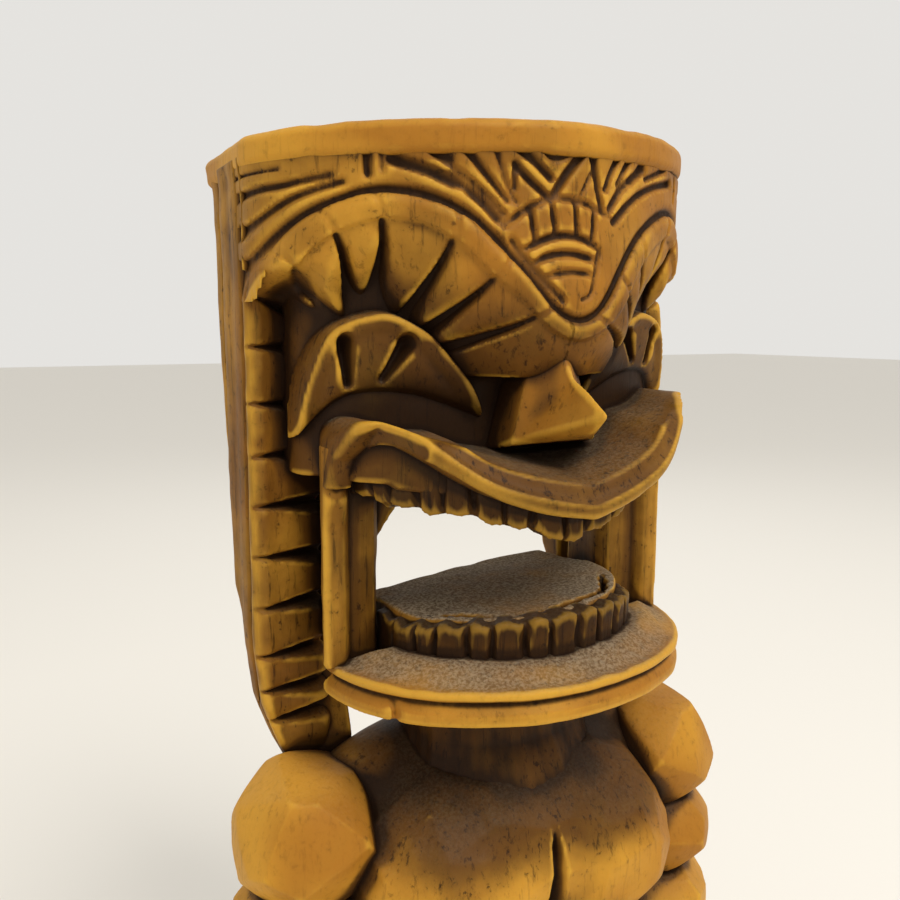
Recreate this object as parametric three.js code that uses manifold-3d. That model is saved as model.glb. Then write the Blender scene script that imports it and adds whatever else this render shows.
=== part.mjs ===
// A carved tiki figure, cast in one piece after a carving cut from a round log.
// Each carved form is a solid of its own, so that the head, face, arms and legs can be told apart.
// Millimetres, +Z up. The figure faces -Y. The origin is the middle of the base's underside.
import * as THREE from "three";
import { mergeVertices } from "three/addons/utils/BufferGeometryUtils.js";
import Module from "manifold-3d";

// Driving dimensions
const HEIGHT = 150;
const GAP = 0.3; // left between two forms that touch
// The head's upright surfaces, each a bow in plan that stands in front of its corners
const HEAD = { half: 30.2, front: 15.5, cornerY: 4.6, power: 1.75 }; // the forehead and the crown
const GROUND = { half: 25.6, front: 7.4, cornerY: 4.6, power: 2 }; // the ground behind the eyes and nose
const MASK = { half: 24.4, front: 22.2, cornerY: -1, power: 2 }; // the lips, which stand out furthest
const Z = {
  baseTop: 9,
  ankle: 15,
  knee: 25.5,
  hip: 37.5,
  belly: 41,
  wrist: 41,
  elbow: 52.4,
  waist: 54.6,
  armCrease: 62.2,
  shoulderTop: 76.5,
  maneBottom: 77,
  chestTop: 79.2,
  jawBottom: 86.8,
  ledgeSplit: 89.1,
  jawTop: 91,
  toothTop: 96.8,
  mouthTop: 112,
  columnTop: 133,
  panelTop: 147.2,
};
const POST_INNER = 16.2; // half the clear width of the mouth
const HAIR_INNER = 17.3; // where the hair at the side ends, towards the middle of the back
const SLAB_FRONT = 5.1; // the front of the flat slab of hair behind the face
const SLAB_BACK = 23.4; // its back at the crown
const COLUMN = { inner: 20.3, back: 9 }; // the notched column at each side of the face
const RELIEF = 4; // depth of what is raised on the face
const LID = 2.6; // how far the eyes stand out of their ground
const SKIN = 0.8; // how far the face's raised forms stay under the rim

// The rounded forms of the body: the middle of each and half its size along X, Y and Z
const NECK = { centre: [0, 0.4, 82], half: [12.4, 9.6, 30] };
const CHEST = { centre: [0, -3.2, 64.5], half: [23, 14, 14.5] };
const YOKE = { centre: [0, 2.6, 71.4], half: [24, 8, 8.2] };
const BELLY = { centre: [0, -3.6, 47.6], half: [20.2, 15, 12.6] };
const HIPS = { centre: [0, -3, 39], half: [21, 15.8, 16] };
const SHOULDER = { centre: [-26, 0.3, 69], half: [8.9, 9.7, 9] };
const UPPER_ARM = { centre: [-26.4, -0.2, 57.6], half: [8.8, 9.2, 7.2] };
const FOREARM = { centre: [-25.8, -1.2, 46.6], half: [8.5, 9.2, 7.8] };
const HAND = { centre: [-24.6, -5.6, 33.6], half: [5.8, 8.6, 8.6], inner: -21.3, bottom: 26.4 };
const THIGH = { centre: [-12, -4.6, 31], half: [9.8, 13, 9] };
const FLAP = { half: 5.2, front: -18.2, back: -10, bottom: 20 }; // the cloth between the thighs
const CALF = { centre: [-12.4, -1.2, 19.8], half: [9.2, 10.6, 8.6] };
const LEG_INNER = 1.4; // half the gap between the legs
const BASE = { half: [28, 24], sides: 28 };
const TOOTH = { upperHalf: 20, upperFront: 17, lowerHalf: 15.7, lowerFront: 15.2, groove: 0.7, y: -1.5 };

// Materials, by what the stained resin looks like on each form
const finish = (color, roughness) => new THREE.MeshStandardMaterial({ color, roughness, metalness: 0 });
const polished = finish(0xc8913c, 0.38);
const stained = finish(0x8a6230, 0.55);
const dusty = finish(0x6b5238, 0.7);

const wasm = await Module();
wasm.setup();

// A closed geometry as a manifold-3d solid
function solidOf(geometry) {
  const bare = geometry.index ? geometry.toNonIndexed() : geometry.clone();
  bare.deleteAttribute("normal");
  bare.deleteAttribute("uv");
  const merged = mergeVertices(bare, 1e-4);
  return new wasm.Manifold(
    new wasm.Mesh({
      numProp: 3,
      vertProperties: new Float32Array(merged.attributes.position.array),
      triVerts: new Uint32Array(merged.index.array),
    }),
  );
}

// A manifold-3d solid as a named mesh
function meshOf(name, solid, material) {
  const cut = solid.getMesh();
  const geometry = new THREE.BufferGeometry();
  geometry.setAttribute("position", new THREE.BufferAttribute(new Float32Array(cut.vertProperties), 3));
  geometry.setIndex(new THREE.BufferAttribute(new Uint32Array(cut.triVerts), 1));
  geometry.computeVertexNormals();
  const mesh = new THREE.Mesh(geometry, material);
  mesh.name = name;
  return mesh;
}

function mirrored(solid) {
  return solid.mirror([1, 0, 0]);
}

function box(x0, x1, y0, y1, z0, z1) {
  const geometry = new THREE.BoxGeometry(x1 - x0, y1 - y0, z1 - z0);
  geometry.translate((x0 + x1) / 2, (y0 + y1) / 2, (z0 + z1) / 2);
  return solidOf(geometry);
}

// A flat outline in x and y, extruded upwards from z0 to z1
function upright(outline, z0, z1) {
  const shape = new THREE.Shape(outline.map(([x, y]) => new THREE.Vector2(x, y)));
  const geometry = new THREE.ExtrudeGeometry(shape, { depth: z1 - z0, bevelEnabled: false });
  geometry.translate(0, 0, z0);
  return solidOf(geometry);
}

// An outline in x and z, extruded from front to back between y0 and y1
function frontal(outline, y0, y1) {
  const shape = new THREE.Shape(outline.map(([x, z]) => new THREE.Vector2(x, z)));
  const geometry = new THREE.ExtrudeGeometry(shape, { depth: y1 - y0, bevelEnabled: false });
  geometry.rotateX(Math.PI / 2);
  geometry.translate(0, y1, 0);
  return solidOf(geometry);
}

// A faceted rounded form, as a knife leaves it, grown on every side where it has to clear its neighbour
function ball(form, grow = 0, around = 16, up = 10) {
  const geometry = new THREE.SphereGeometry(1, around, up);
  geometry.rotateX(Math.PI / 2);
  geometry.scale(...form.half.map((length) => length + grow));
  geometry.translate(...form.centre);
  return solidOf(geometry);
}

// A solid kept between two heights
function between(solid, z0, z1, x0 = -60, x1 = 60) {
  return solid.intersect(box(x0, x1, -40, 40, z0, z1));
}

// The same outline with every side moved in by d, or out where d is negative
function inset(outline, d) {
  const turn = THREE.ShapeUtils.area(outline.map(([x, y]) => new THREE.Vector2(x, y))) > 0 ? 1 : -1;
  return outline.map((here, i) => {
    const before = outline[(i + outline.length - 1) % outline.length];
    const after = outline[(i + 1) % outline.length];
    const a = new THREE.Vector2(here[0] - before[0], here[1] - before[1]).normalize();
    const b = new THREE.Vector2(after[0] - here[0], after[1] - here[1]).normalize();
    const normal = new THREE.Vector2(-(a.y + b.y), a.x + b.x).normalize().multiplyScalar(turn);
    const lean = Math.max(0.4, Math.abs(normal.x * -a.y + normal.y * a.x));
    return [here[0] + (normal.x * d) / lean, here[1] + (normal.y * d) / lean];
  });
}

// An outline in y and z, extruded from side to side between x0 and x1
function sideways(outline, x0, x1) {
  const shape = new THREE.Shape(outline.map(([y, z]) => new THREE.Vector2(y, z)));
  const geometry = new THREE.ExtrudeGeometry(shape, { depth: x1 - x0, bevelEnabled: false });
  geometry.rotateX(Math.PI / 2);
  geometry.rotateZ(Math.PI / 2);
  geometry.translate(x0, 0, 0);
  return solidOf(geometry);
}

// One of the head's bows seen from above, cut back by depth: a full curve from corner to corner
function bowCurve(form, depth) {
  const wide = form.half - depth;
  const reach = form.cornerY + form.front - depth;
  const steps = 22;
  const curve = [];
  for (let i = 0; i <= steps; i++) {
    const turn = -Math.PI / 2 + (Math.PI * i) / steps;
    const across = Math.sign(Math.sin(turn)) * Math.abs(Math.sin(turn)) ** (2 / form.power);
    const ahead = Math.abs(Math.cos(turn)) ** (2 / form.power);
    curve.push([wide * across, form.cornerY - reach * ahead]);
  }
  return curve;
}

// What stands behind one of the bows, with a flat back just behind its corners
function bow(form, depth, z0, z1, backY = form.cornerY + 0.2) {
  const wide = form.half - depth;
  return upright([...bowCurve(form, depth), [wide, backY], [-wide, backY]], z0, z1);
}

// What an outline seen from the front leaves of a bow's outer layer, between two depths
function relief(outline, form, outer, inner) {
  const layer = bow(form, outer, 70, HEIGHT - 0.01).subtract(bow(form, inner, 69, HEIGHT + 1, 20));
  return layer.intersect(frontal(outline, -40, 20));
}

const both = (half) => [...half, ...half.map(([x, z]) => [-x, z]).reverse()];

// The slab's back line in Y and Z, and its right side in X and Z, from the shoulders up
const BACK_LINE = [
  [11, Z.maneBottom],
  [13.4, 86],
  [15.1, 94],
  [18.4, 107],
  [20.7, 116],
  [22.2, 133],
  [SLAB_BACK, HEIGHT],
];
const SIDE_LINE = [
  [-27, Z.maneBottom],
  [-29.2, 83],
  [-HEAD.half, 90],
  [-HEAD.half, HEIGHT],
];

// The flat slab of hair behind the face, between two heights and behind frontY
function slab(z0, z1, frontY = SLAB_FRONT) {
  const profile = sideways([...BACK_LINE, [frontY, HEIGHT], [frontY, Z.maneBottom]], -40, 40);
  return between(profile.intersect(frontal(both(SIDE_LINE), -40, 40)), z0, z1);
}

// The lower edge of the forehead panel on the right of the head, from the side to the point over the nose
const BROW = [
  [-32, 131],
  [-30, 135.4],
  [-27.8, 139.2],
  [-25.9, 141.1],
  [-23.4, 142.5],
  [-19.9, 143.7],
  [-16.2, 143.5],
  [-13.3, 142.5],
  [-10.2, 140.6],
  [-7.5, 137.6],
  [-4.6, 134.6],
  [-1.8, 131],
  [-0.6, 129.8],
];

// The notched band: round over the eye from the nose, and down the head's side as a column
const BAND_INSIDE = [
  [-4.2, 127.4],
  [-8.4, 127.6],
  [-11.2, 130.6],
  [-15, 133.4],
  [-19, 134.2],
  [-22.4, 132.6],
  [-24.8, 129],
  [-32, 129],
];
const BAND = [...BROW, ...BAND_INSIDE];
const NOTCH_PITCH = 6.2;
const LOCK_ANGLES = [146, 131, 114, 99, 75, 54]; // of the cuts between the locks, about the eye

// The eye, a leaf with a high arched lid
const EYE = [
  [-26, 118],
  [-26.2, 121.8],
  [-25.4, 125.4],
  [-24.2, 128.8],
  [-20.4, 131.2],
  [-17.5, 131.7],
  [-12.3, 129.2],
  [-7.8, 123.8],
  [-6.2, 119.6],
  [-10.8, 121.5],
  [-14, 122.7],
  [-18.2, 123.2],
  [-21, 122.8],
  [-23.2, 121],
];
const EYE_SLITS = [
  [
    [-22.4, 129.2],
    [-20.7, 129.2],
    [-20.5, 124.4],
    [-21.3, 124.4],
  ],
  [
    [-16, 128.6],
    [-13.8, 128.6],
    [-17, 124.4],
    [-17.8, 124.8],
  ],
];

// The upper lip: a thick band that dips under the nose and rises to both corners of the mouth
const LIP_TOP = [
  [-24.2, Z.mouthTop],
  [-24.2, 116.5],
  [-23.6, 118.6],
  [-22.4, 120],
  [-21.1, 120.5],
  [-19.3, 120],
  [-16.9, 119.2],
  [-13.5, 117.2],
  [-10.8, 115.7],
  [-6.2, 114.2],
  [-1, 113.1],
];
const LIP_BOTTOM = [
  [-22.1, Z.mouthTop],
  [-21.9, 117.3],
  [-21.1, 118.5],
  [-20.2, 118.8],
  [-19.1, 118.3],
  [-16.7, 116.5],
  [-13.3, 113.9],
  [-10.6, 112.2],
  [-5.9, 110.4],
  [-0.7, 109.3],
];

// The upper teeth hang behind the lip, and their lower edge dips with it towards the middle
const TEETH_TOP = [
  [-19, 118.2],
  [-16.9, 117.6],
  [-13.5, 115.7],
  [-10.8, 114.2],
  [-6.2, 112.7],
  [-1, 111.6],
];
const TEETH_BOTTOM = [
  [-18.6, 115.6],
  [-17.9, 112.6],
  [-16.1, 111.2],
  [-10.9, 109.4],
  [-4.6, 107.2],
  [-0.8, 106],
];

// A band across the whole face, from its upper and lower lines on the right of the head
function across(top, bottom) {
  return [...both(top), ...both(bottom).reverse()];
}

// The crown: a plate over the whole head, with its back corners cut
function crownRim() {
  const corner = 3;
  const outline = bowCurve(HEAD, 0);
  outline.push([HEAD.half, SLAB_BACK - corner], [HEAD.half - corner, SLAB_BACK]);
  outline.push([corner - HEAD.half, SLAB_BACK], [-HEAD.half, SLAB_BACK - corner]);
  return upright(outline, Z.panelTop, HEIGHT);
}

function foreheadPanel() {
  const outline = [[-32, Z.panelTop - GAP], ...both(BROW), [32, Z.panelTop - GAP]];
  return relief(inset(outline, GAP / 2), HEAD, SKIN, RELIEF - GAP);
}

// One straight saw cut across the band, from one point of the face to another
function lockCut([x0, z0], [x1, z1]) {
  const along = new THREE.Vector2(x1 - x0, z1 - z0).normalize();
  const side = [-along.y * 0.5, along.x * 0.5];
  const cut = [
    [x0 + side[0], z0 + side[1]],
    [x1 + side[0], z1 + side[1]],
    [x1 - side[0], z1 - side[1]],
    [x0 - side[0], z0 - side[1]],
  ];
  return frontal(cut, -40, 4).subtract(bow(HEAD, 2.6, 69, HEIGHT + 1));
}

function mane() {
  const plan = [
    [-HEAD.half, 4.3],
    [-26, 4.5],
    [-COLUMN.inner, 6.1],
    [-COLUMN.inner, COLUMN.back],
    [-HEAD.half, COLUMN.back],
  ];
  const column = upright(plan, Z.maneBottom, Z.columnTop).intersect(frontal(both(SIDE_LINE), -40, 40));
  let solid = relief(inset(BAND, GAP / 2), HEAD, SKIN, RELIEF - GAP).add(column);

  // The column's notches grow deeper towards the face
  const notch = [
    [-31, 4.6],
    [-31, 0],
    [-20, 0],
    [-20, 8.2],
  ];
  for (let z = Z.maneBottom + NOTCH_PITCH; z < 128; z += NOTCH_PITCH) {
    solid = solid.subtract(upright(notch, z - 0.5, z + 0.5));
  }
  const eyeCentre = [-16.5, 124];
  for (const degrees of LOCK_ANGLES) {
    const turn = THREE.MathUtils.degToRad(degrees);
    const [near, far] = [8, 16].map((r) => [
      eyeCentre[0] + r * Math.cos(turn),
      eyeCentre[1] + r * Math.sin(turn),
    ]);
    solid = solid.subtract(lockCut(near, far));
  }
  return solid;
}

// The core of the upper head, cut back to the face's ground, and the middle of the hair behind it
function cranium() {
  const pocketOutline = both([[-32, Z.mouthTop - 1], ...[...BAND_INSIDE].reverse()]);
  const pocket = frontal(pocketOutline, -40, 12).subtract(bow(GROUND, 0, 69, HEIGHT + 1, 30));
  const front = bow(HEAD, RELIEF, Z.mouthTop, Z.panelTop - GAP)
    .subtract(pocket)
    .intersect(box(-40, 40, -40, 4.1, 0, HEIGHT));
  const middle = box(GAP - HAIR_INNER, HAIR_INNER - GAP, -40, 40, 0, HEIGHT);
  return front.add(slab(Z.mouthTop, Z.panelTop - GAP, 2).intersect(middle));
}

function eye() {
  let lid = relief(EYE, GROUND, -LID, -GAP).intersect(box(-40, 0, -40, 4.1, 0, HEIGHT));
  for (const slit of EYE_SLITS) {
    lid = lid.subtract(frontal(slit, -40, 8).subtract(bow(GROUND, -1, 69, HEIGHT + 1)));
  }
  return lid;
}

function nose() {
  const profile = [
    [-5, 127.1],
    [-13.6, 127.1],
    [-16.6, 124.2],
    [-22.9, 120.4],
    [-20.4, 118.2],
    [-13, 116.6],
    [-5, 116.6],
  ];
  const flare = [
    [-2.6, 128],
    [-5.8, 116],
    [5.8, 116],
    [2.6, 128],
  ];
  const wedge = [
    [0, -23.4],
    [5.8, -12.6],
    [5.8, 0],
    [-5.8, 0],
    [-5.8, -12.6],
  ];
  return sideways(profile, -8, 8)
    .intersect(frontal(flare, -40, 8))
    .intersect(upright(wedge, 110, 130))
    .subtract(bow(GROUND, -GAP, 69, HEIGHT + 1));
}

// The lip reaches from the mask's surface back to the face's ground, and holds the teeth under it
function upperLip() {
  const seat = inset(across(TEETH_TOP, TEETH_BOTTOM), -GAP);
  const pocket = teethRow(TOOTH.upperHalf + 1, TOOTH.upperFront + 1, 100, 125, 1);
  return bow(MASK, 0, 100, 125, 1.5)
    .intersect(frontal(across(LIP_TOP, LIP_BOTTOM), -40, 8))
    .subtract(bow(GROUND, -GAP, 69, HEIGHT + 1, 20))
    .subtract(pocket.intersect(frontal(seat, -40, 8)));
}

// A curved row of teeth between two heights, each tooth parted from the next by an upright groove
function teethRow(half, front, z0, z1, count) {
  const outline = [];
  const steps = Math.max(count * 4, 32);
  for (let i = 0; i <= steps; i++) {
    const turn = Math.PI * (i / steps);
    const groove = count > 1 && i % 4 === 0 ? TOOTH.groove : 0;
    outline.push([-(half - groove) * Math.cos(turn), TOOTH.y - (front - groove) * Math.sin(turn)]);
  }
  outline.push([half - 4, TOOTH.y + 0.6], [4 - half, TOOTH.y + 0.6]);
  return upright(outline, z0, z1);
}

function upperTeeth() {
  const behind = upright(arcOutline(TOOTH.upperHalf - 5, TOOTH.upperFront - 5, TOOTH.y), 80, 130);
  return teethRow(TOOTH.upperHalf, TOOTH.upperFront, 100, 125, 14)
    .intersect(frontal(across(TEETH_TOP, TEETH_BOTTOM), -40, 8))
    .subtract(behind)
    .subtract(bow(GROUND, -GAP, 69, HEIGHT + 1, 20));
}

// The post at each corner of the mouth: the lip's band run straight down to the jaw, and a plate behind it
function lipPost() {
  const plan = [
    [-POST_INNER, COLUMN.back],
    [GAP - COLUMN.inner, COLUMN.back],
    [GAP - COLUMN.inner, 4.2],
    [-21.7, 4.2],
    [-24.3, -2.8],
    [-23.3, -3.5],
    [-22.2, -3.1],
    [-21.6, -2.1],
    [-17.2, -1.4],
    [-POST_INNER, -0.4],
  ];
  return upright(plan, Z.jawTop + GAP, Z.mouthTop - GAP);
}

// The hair at the side of the head, behind the notched column and the post
function hairFall() {
  const seat = COLUMN.back + GAP;
  const columnSeat = box(-40, GAP - COLUMN.inner, -40, seat, 0, Z.columnTop + GAP);
  const postSeat = box(-40, 0, -40, seat, 0, Z.mouthTop);
  return slab(Z.maneBottom, Z.panelTop - GAP)
    .intersect(box(-40, -HAIR_INNER, 0, 40, 0, HEIGHT))
    .subtract(columnSeat)
    .subtract(postSeat);
}

// One of the lower lip's two ledges: a half ellipse in front and a block between the posts behind
function ledge(shrink, z0, z1) {
  const half = 24 - shrink;
  const front = 20.3 - shrink;
  const behind = POST_INNER - GAP;
  const outline = [];
  for (let i = 0; i <= 20; i++) {
    const turn = (Math.PI * i) / 20;
    outline.push([-half * Math.cos(turn), MASK.cornerY - front * Math.sin(turn)]);
  }
  outline.push([behind, MASK.cornerY], [behind, COLUMN.back], [-behind, COLUMN.back], [-behind, MASK.cornerY]);
  return upright(outline, z0, z1);
}

function tongue() {
  const half = TOOTH.lowerHalf - 3;
  const outline = arcOutline(half, TOOTH.lowerFront - 3, TOOTH.y);
  const back = [
    [-15.2, -40],
    [-15.2, 7.4],
    [-3, 11.6],
    [8, 13],
    [15.2, 13],
    [15.2, -40],
  ];
  return upright(outline, Z.jawTop + GAP, Z.toothTop + GAP).intersect(upright(back, 80, 110));
}

// A half ellipse open to the back, as an outline seen from above
function arcOutline(half, front, y) {
  const outline = [];
  for (let i = 0; i <= 12; i++) {
    const turn = (Math.PI * i) / 12;
    outline.push([-half * Math.cos(turn), y - front * Math.sin(turn)]);
  }
  outline.push([half + 7, y], [half + 7, 30], [-half - 7, 30], [-half - 7, y]);
  return outline;
}

function lowerTeeth() {
  const grown = arcOutline(TOOTH.lowerHalf - 3 + GAP, TOOTH.lowerFront - 3 + GAP, TOOTH.y - GAP);
  return teethRow(TOOTH.lowerHalf, TOOTH.lowerFront, Z.jawTop + GAP, Z.toothTop, 11).subtract(
    upright(grown, 80, 110),
  );
}

function neck() {
  return between(ball(NECK), Z.chestTop + GAP, Z.jawBottom - GAP);
}

// The chest, with a groove down its middle
function chest() {
  const groove = upright(
    [
      [-0.9, -30],
      [0.9, -30],
      [0, -17],
    ],
    56,
    70,
  );
  return between(ball(CHEST).add(ball(YOKE)), Z.waist, Z.chestTop).subtract(groove);
}

function belly() {
  return between(ball(BELLY), Z.belly + GAP, Z.waist - GAP);
}

// The cloth round the hips, and its flap between the thighs
function loincloth() {
  const flap = box(-FLAP.half, FLAP.half, FLAP.front, FLAP.back, FLAP.bottom, Z.hip + 1);
  return between(ball(HIPS), Z.hip, Z.belly).add(flap);
}

// The arm hangs in stepped bulges that rest against the body
function armBulge(form, z0, z1) {
  return between(ball(form, 0, 10, 7), z0, z1)
    .subtract(between(ball(CHEST, GAP), Z.waist - GAP, Z.chestTop))
    .subtract(ball(YOKE, GAP))
    .subtract(between(ball(BELLY, GAP), Z.belly, Z.waist))
    .subtract(between(ball(HIPS, GAP), Z.hip - GAP, Z.belly + GAP));
}

function hand() {
  let solid = between(ball(HAND, 0, 12, 8), HAND.bottom, Z.wrist - GAP, -60, HAND.inner);
  for (const y of [-11.2, -8.2, -5.2]) {
    solid = solid.subtract(box(-60, -27.6, y - 0.35, y + 0.35, 20, 33));
  }
  return solid;
}

function thigh() {
  const flapSeat = box(-FLAP.half - GAP, 0, FLAP.front - GAP, FLAP.back + GAP, FLAP.bottom - GAP, Z.hip);
  const leg = between(ball(THIGH, 0, 12, 8), Z.knee + GAP, Z.hip - GAP, HAND.inner + GAP, -LEG_INNER);
  return leg.subtract(flapSeat);
}

function calf() {
  return between(ball(CALF, 0, 12, 8), Z.ankle + GAP, Z.knee, -60, -LEG_INNER);
}

function foot() {
  const plan = [
    [-20, 6],
    [-21, -8],
    [-20, -16],
    [-17, -19],
    [-6, -19],
    [-3.2, -16],
    [-3, 6],
    [-6, 9],
    [-17, 9],
  ];
  let solid = upright(plan, Z.baseTop + GAP, Z.ankle);
  for (const x of [-16.6, -13.2, -9.8, -6.4]) {
    solid = solid.subtract(box(x - 0.35, x + 0.35, -30, -14, Z.baseTop + 1.6, 20));
  }
  return solid;
}

function base() {
  const outline = [];
  for (let i = 0; i < BASE.sides; i++) {
    const turn = (2 * Math.PI * i) / BASE.sides;
    outline.push([BASE.half[0] * Math.cos(turn), BASE.half[1] * Math.sin(turn)]);
  }
  return upright(outline, 0, Z.baseTop);
}

const figure = new THREE.Group();

function addOne(name, solid, material) {
  figure.add(meshOf(name, solid, material));
}

// The forms that come in pairs are cut for the figure's right side and mirrored
function addPair(name, solid, material) {
  addOne(name + "_right", solid, material);
  addOne(name + "_left", mirrored(solid), material);
}

addOne("crown_rim", crownRim(), polished);
addOne("forehead_panel", foreheadPanel(), polished);
addPair("mane", mane(), polished);
addOne("cranium", cranium(), stained);
addPair("eye", eye(), polished);
addOne("nose", nose(), polished);
addOne("upper_lip", upperLip(), polished);
addOne("upper_teeth", upperTeeth(), stained);
addPair("lip_post", lipPost(), polished);
addPair("hair_fall", hairFall(), stained);
addOne("tongue", tongue(), dusty);
addOne("lower_teeth", lowerTeeth(), stained);
addOne("lower_lip_top_ledge", ledge(0, Z.ledgeSplit + GAP, Z.jawTop), polished);
addOne("lower_lip_bottom_ledge", ledge(0.6, Z.jawBottom, Z.ledgeSplit), polished);
addOne("neck", neck(), stained);
addOne("chest", chest(), polished);
addOne("belly", belly(), polished);
addPair("shoulder", armBulge(SHOULDER, Z.armCrease, Z.shoulderTop), polished);
addPair("upper_arm", armBulge(UPPER_ARM, Z.elbow, Z.armCrease - GAP), polished);
addPair("forearm", armBulge(FOREARM, Z.wrist, Z.elbow - GAP), polished);
addPair("hand", hand(), polished);
addOne("loincloth", loincloth(), stained);
addPair("thigh", thigh(), polished);
addPair("calf", calf(), polished);
addPair("foot", foot(), polished);
addOne("base", base(), stained);

export default figure;
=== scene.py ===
"""The looks of a carved tiki figure, cast in stained amber resin.

Each carved form is sculpted as a signed distance field in millimetres, in the CAD's own frame: it is
negative inside the resin, and the figure faces -Y. The fields are meshed on one lattice, and how much resin
lies round each point of the surface gives the worn edges with a painted highlight on them, the stained
recesses with painted shade in them, and the dust.
"""

import math

import bpy
import numpy as np
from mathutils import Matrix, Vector


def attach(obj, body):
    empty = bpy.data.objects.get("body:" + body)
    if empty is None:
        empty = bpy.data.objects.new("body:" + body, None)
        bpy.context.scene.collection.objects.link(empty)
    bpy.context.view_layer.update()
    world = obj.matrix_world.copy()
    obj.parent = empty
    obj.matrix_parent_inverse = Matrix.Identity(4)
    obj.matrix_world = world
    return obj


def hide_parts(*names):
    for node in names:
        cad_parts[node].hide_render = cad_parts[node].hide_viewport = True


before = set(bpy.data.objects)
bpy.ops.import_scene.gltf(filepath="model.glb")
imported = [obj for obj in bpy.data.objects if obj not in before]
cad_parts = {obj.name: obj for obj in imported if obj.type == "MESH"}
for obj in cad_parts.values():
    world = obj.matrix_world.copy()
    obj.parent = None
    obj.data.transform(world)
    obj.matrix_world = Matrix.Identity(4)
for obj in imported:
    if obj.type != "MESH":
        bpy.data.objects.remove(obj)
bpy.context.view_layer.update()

F = np.float32
MM = 0.001
VOXEL = 0.3
BLOCK = 4  # lattice steps along the side of a block that is sampled whole
ORIGIN = np.array([-38.0, -28.0, -2.0])  # the lattice's lowest corner
FAR = np.array([38.0, 28.0, 154.0])  # the corner that it has to reach


# ---- arithmetic on fields ----


def step(a, b, x):
    """Smoothly from 0 at a to 1 at b."""
    t = np.clip((x - a) / (b - a), 0, 1)
    return t * t * (3 - 2 * t)


def smin(a, b, k):
    """The union of two fields, rounded over a width of k."""
    h = np.clip(0.5 + 0.5 * (b - a) / k, 0, 1)
    return b + (a - b) * h - k * h * (1 - h)


def smax(a, b, k):
    """What two fields share, rounded over a width of k."""
    return -smin(-a, -b, k)


def meet(*fields):
    """What all the fields share, with sharp edges."""
    return np.max(fields, axis=0)


def table(x, xs, ys):
    """Straight lines between the values ys at xs."""
    return np.interp(x, xs, ys).astype(F)


def vee(x, at, half, depth):
    """A V-shaped cut: its depth at x, for a cut centred at `at`."""
    return depth * np.clip(1 - np.abs(x - at) / half, 0, None)


def ellipsoid(x, y, z, centre, half):
    qx, qy, qz = (x - centre[0]) / half[0], (y - centre[1]) / half[1], (z - centre[2]) / half[2]
    g = np.sqrt(qx * qx + qy * qy + qz * qz) + F(1e-4)
    return (g - 1) * g / (np.sqrt((qx / half[0]) ** 2 + (qy / half[1]) ** 2 + (qz / half[2]) ** 2) + F(1e-5))


def bow(u, y, w, front, corner, power=2.0):
    """An upright surface, elliptic in plan in front of y = corner and straight behind it."""
    b = corner + front
    p, q = np.abs(u) / w + F(1e-4), np.maximum(corner - y, 0) / b + F(1e-4)
    total = p**power + q**power
    g = total ** F(1 / power)
    slope = np.sqrt((p ** (power - 1) / w) ** 2 + (q ** (power - 1) / b) ** 2) * total ** F(1 / power - 1)
    return (g - 1) / (slope + F(1e-5))


def rounded(plan, upright, r):
    """A plan outline raised to a height, with its edges rounded by r."""
    a, b = np.maximum(plan + r, 0), np.maximum(upright + r, 0)
    return np.sqrt(a * a + b * b) + np.minimum(np.maximum(plan + r, upright + r), 0) - r


def plane(x, y, z, p, q, r, inside):
    """The distance outside the plane through three points."""
    p, q, r, inside = (np.array(v, float) for v in (p, q, r, inside))
    n = np.cross(q - p, r - p)
    n /= np.linalg.norm(n)
    if n @ (inside - p) > 0:
        n = -n
    return n[0] * x + n[1] * y + n[2] * z - F(n @ p)


NOISE = np.random.default_rng(7).uniform(-1, 1, (32, 32, 32)).astype(F)


def noise(x, y, z, size, shift=0.0):
    """Smooth noise from -1 to 1 whose features are about `size` millimetres across."""
    total = []
    parts = []
    for v in (x, y, z):
        s = v / size + F(100 + shift)
        i = np.floor(s).astype(np.int32)
        t = (s - i).astype(F)
        parts.append((i & 31, (i + 1) & 31, t * t * (3 - 2 * t)))
    (x0, x1, tx), (y0, y1, ty), (z0, z1, tz) = parts
    for zi in (z0, z1):
        rows = []
        for yi in (y0, y1):
            a, b = NOISE[x0, yi, zi], NOISE[x1, yi, zi]
            rows.append(a + (b - a) * tx)
        total.append(rows[0] + (rows[1] - rows[0]) * ty)
    return total[0] + (total[1] - total[0]) * tz


def hand_cut(x, y, z):
    """The unevenness that a knife leaves."""
    return F(0.16) * noise(x, y, z, 5.5) + F(0.07) * noise(x, y, z, 1.9, 11.0)


FACETS = {}


def faceted(x, y, z, centre, half, seed, count=46, keep=0.72):
    """An ellipsoid cut into flat facets, as a knife leaves it."""
    if seed not in FACETS:
        rng = np.random.default_rng(seed)
        k = np.arange(count) + 0.5
        tilt = np.arccos(1 - 2 * k / count)
        turn = math.pi * (1 + 5**0.5) * k
        n = np.stack([np.cos(turn) * np.sin(tilt), np.sin(turn) * np.sin(tilt), np.cos(tilt)], 1)
        n += rng.normal(0, 0.16, n.shape)
        n /= np.linalg.norm(n, axis=1)[:, None]
        FACETS[seed] = (n, 0.955 + rng.uniform(-0.025, 0.03, count))
    qx, qy, qz = (x - centre[0]) / half[0], (y - centre[1]) / half[1], (z - centre[2]) / half[2]
    best = np.full(x.shape, -9, F)
    for n, c in zip(*FACETS[seed]):
        np.maximum(best, F(n[0]) * qx + F(n[1]) * qy + F(n[2]) * qz - F(c), out=best)
    return keep * best * min(half) + (1 - keep) * ellipsoid(x, y, z, centre, half)


# ---- what is drawn on the face, as charts over X and Z ----


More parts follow.
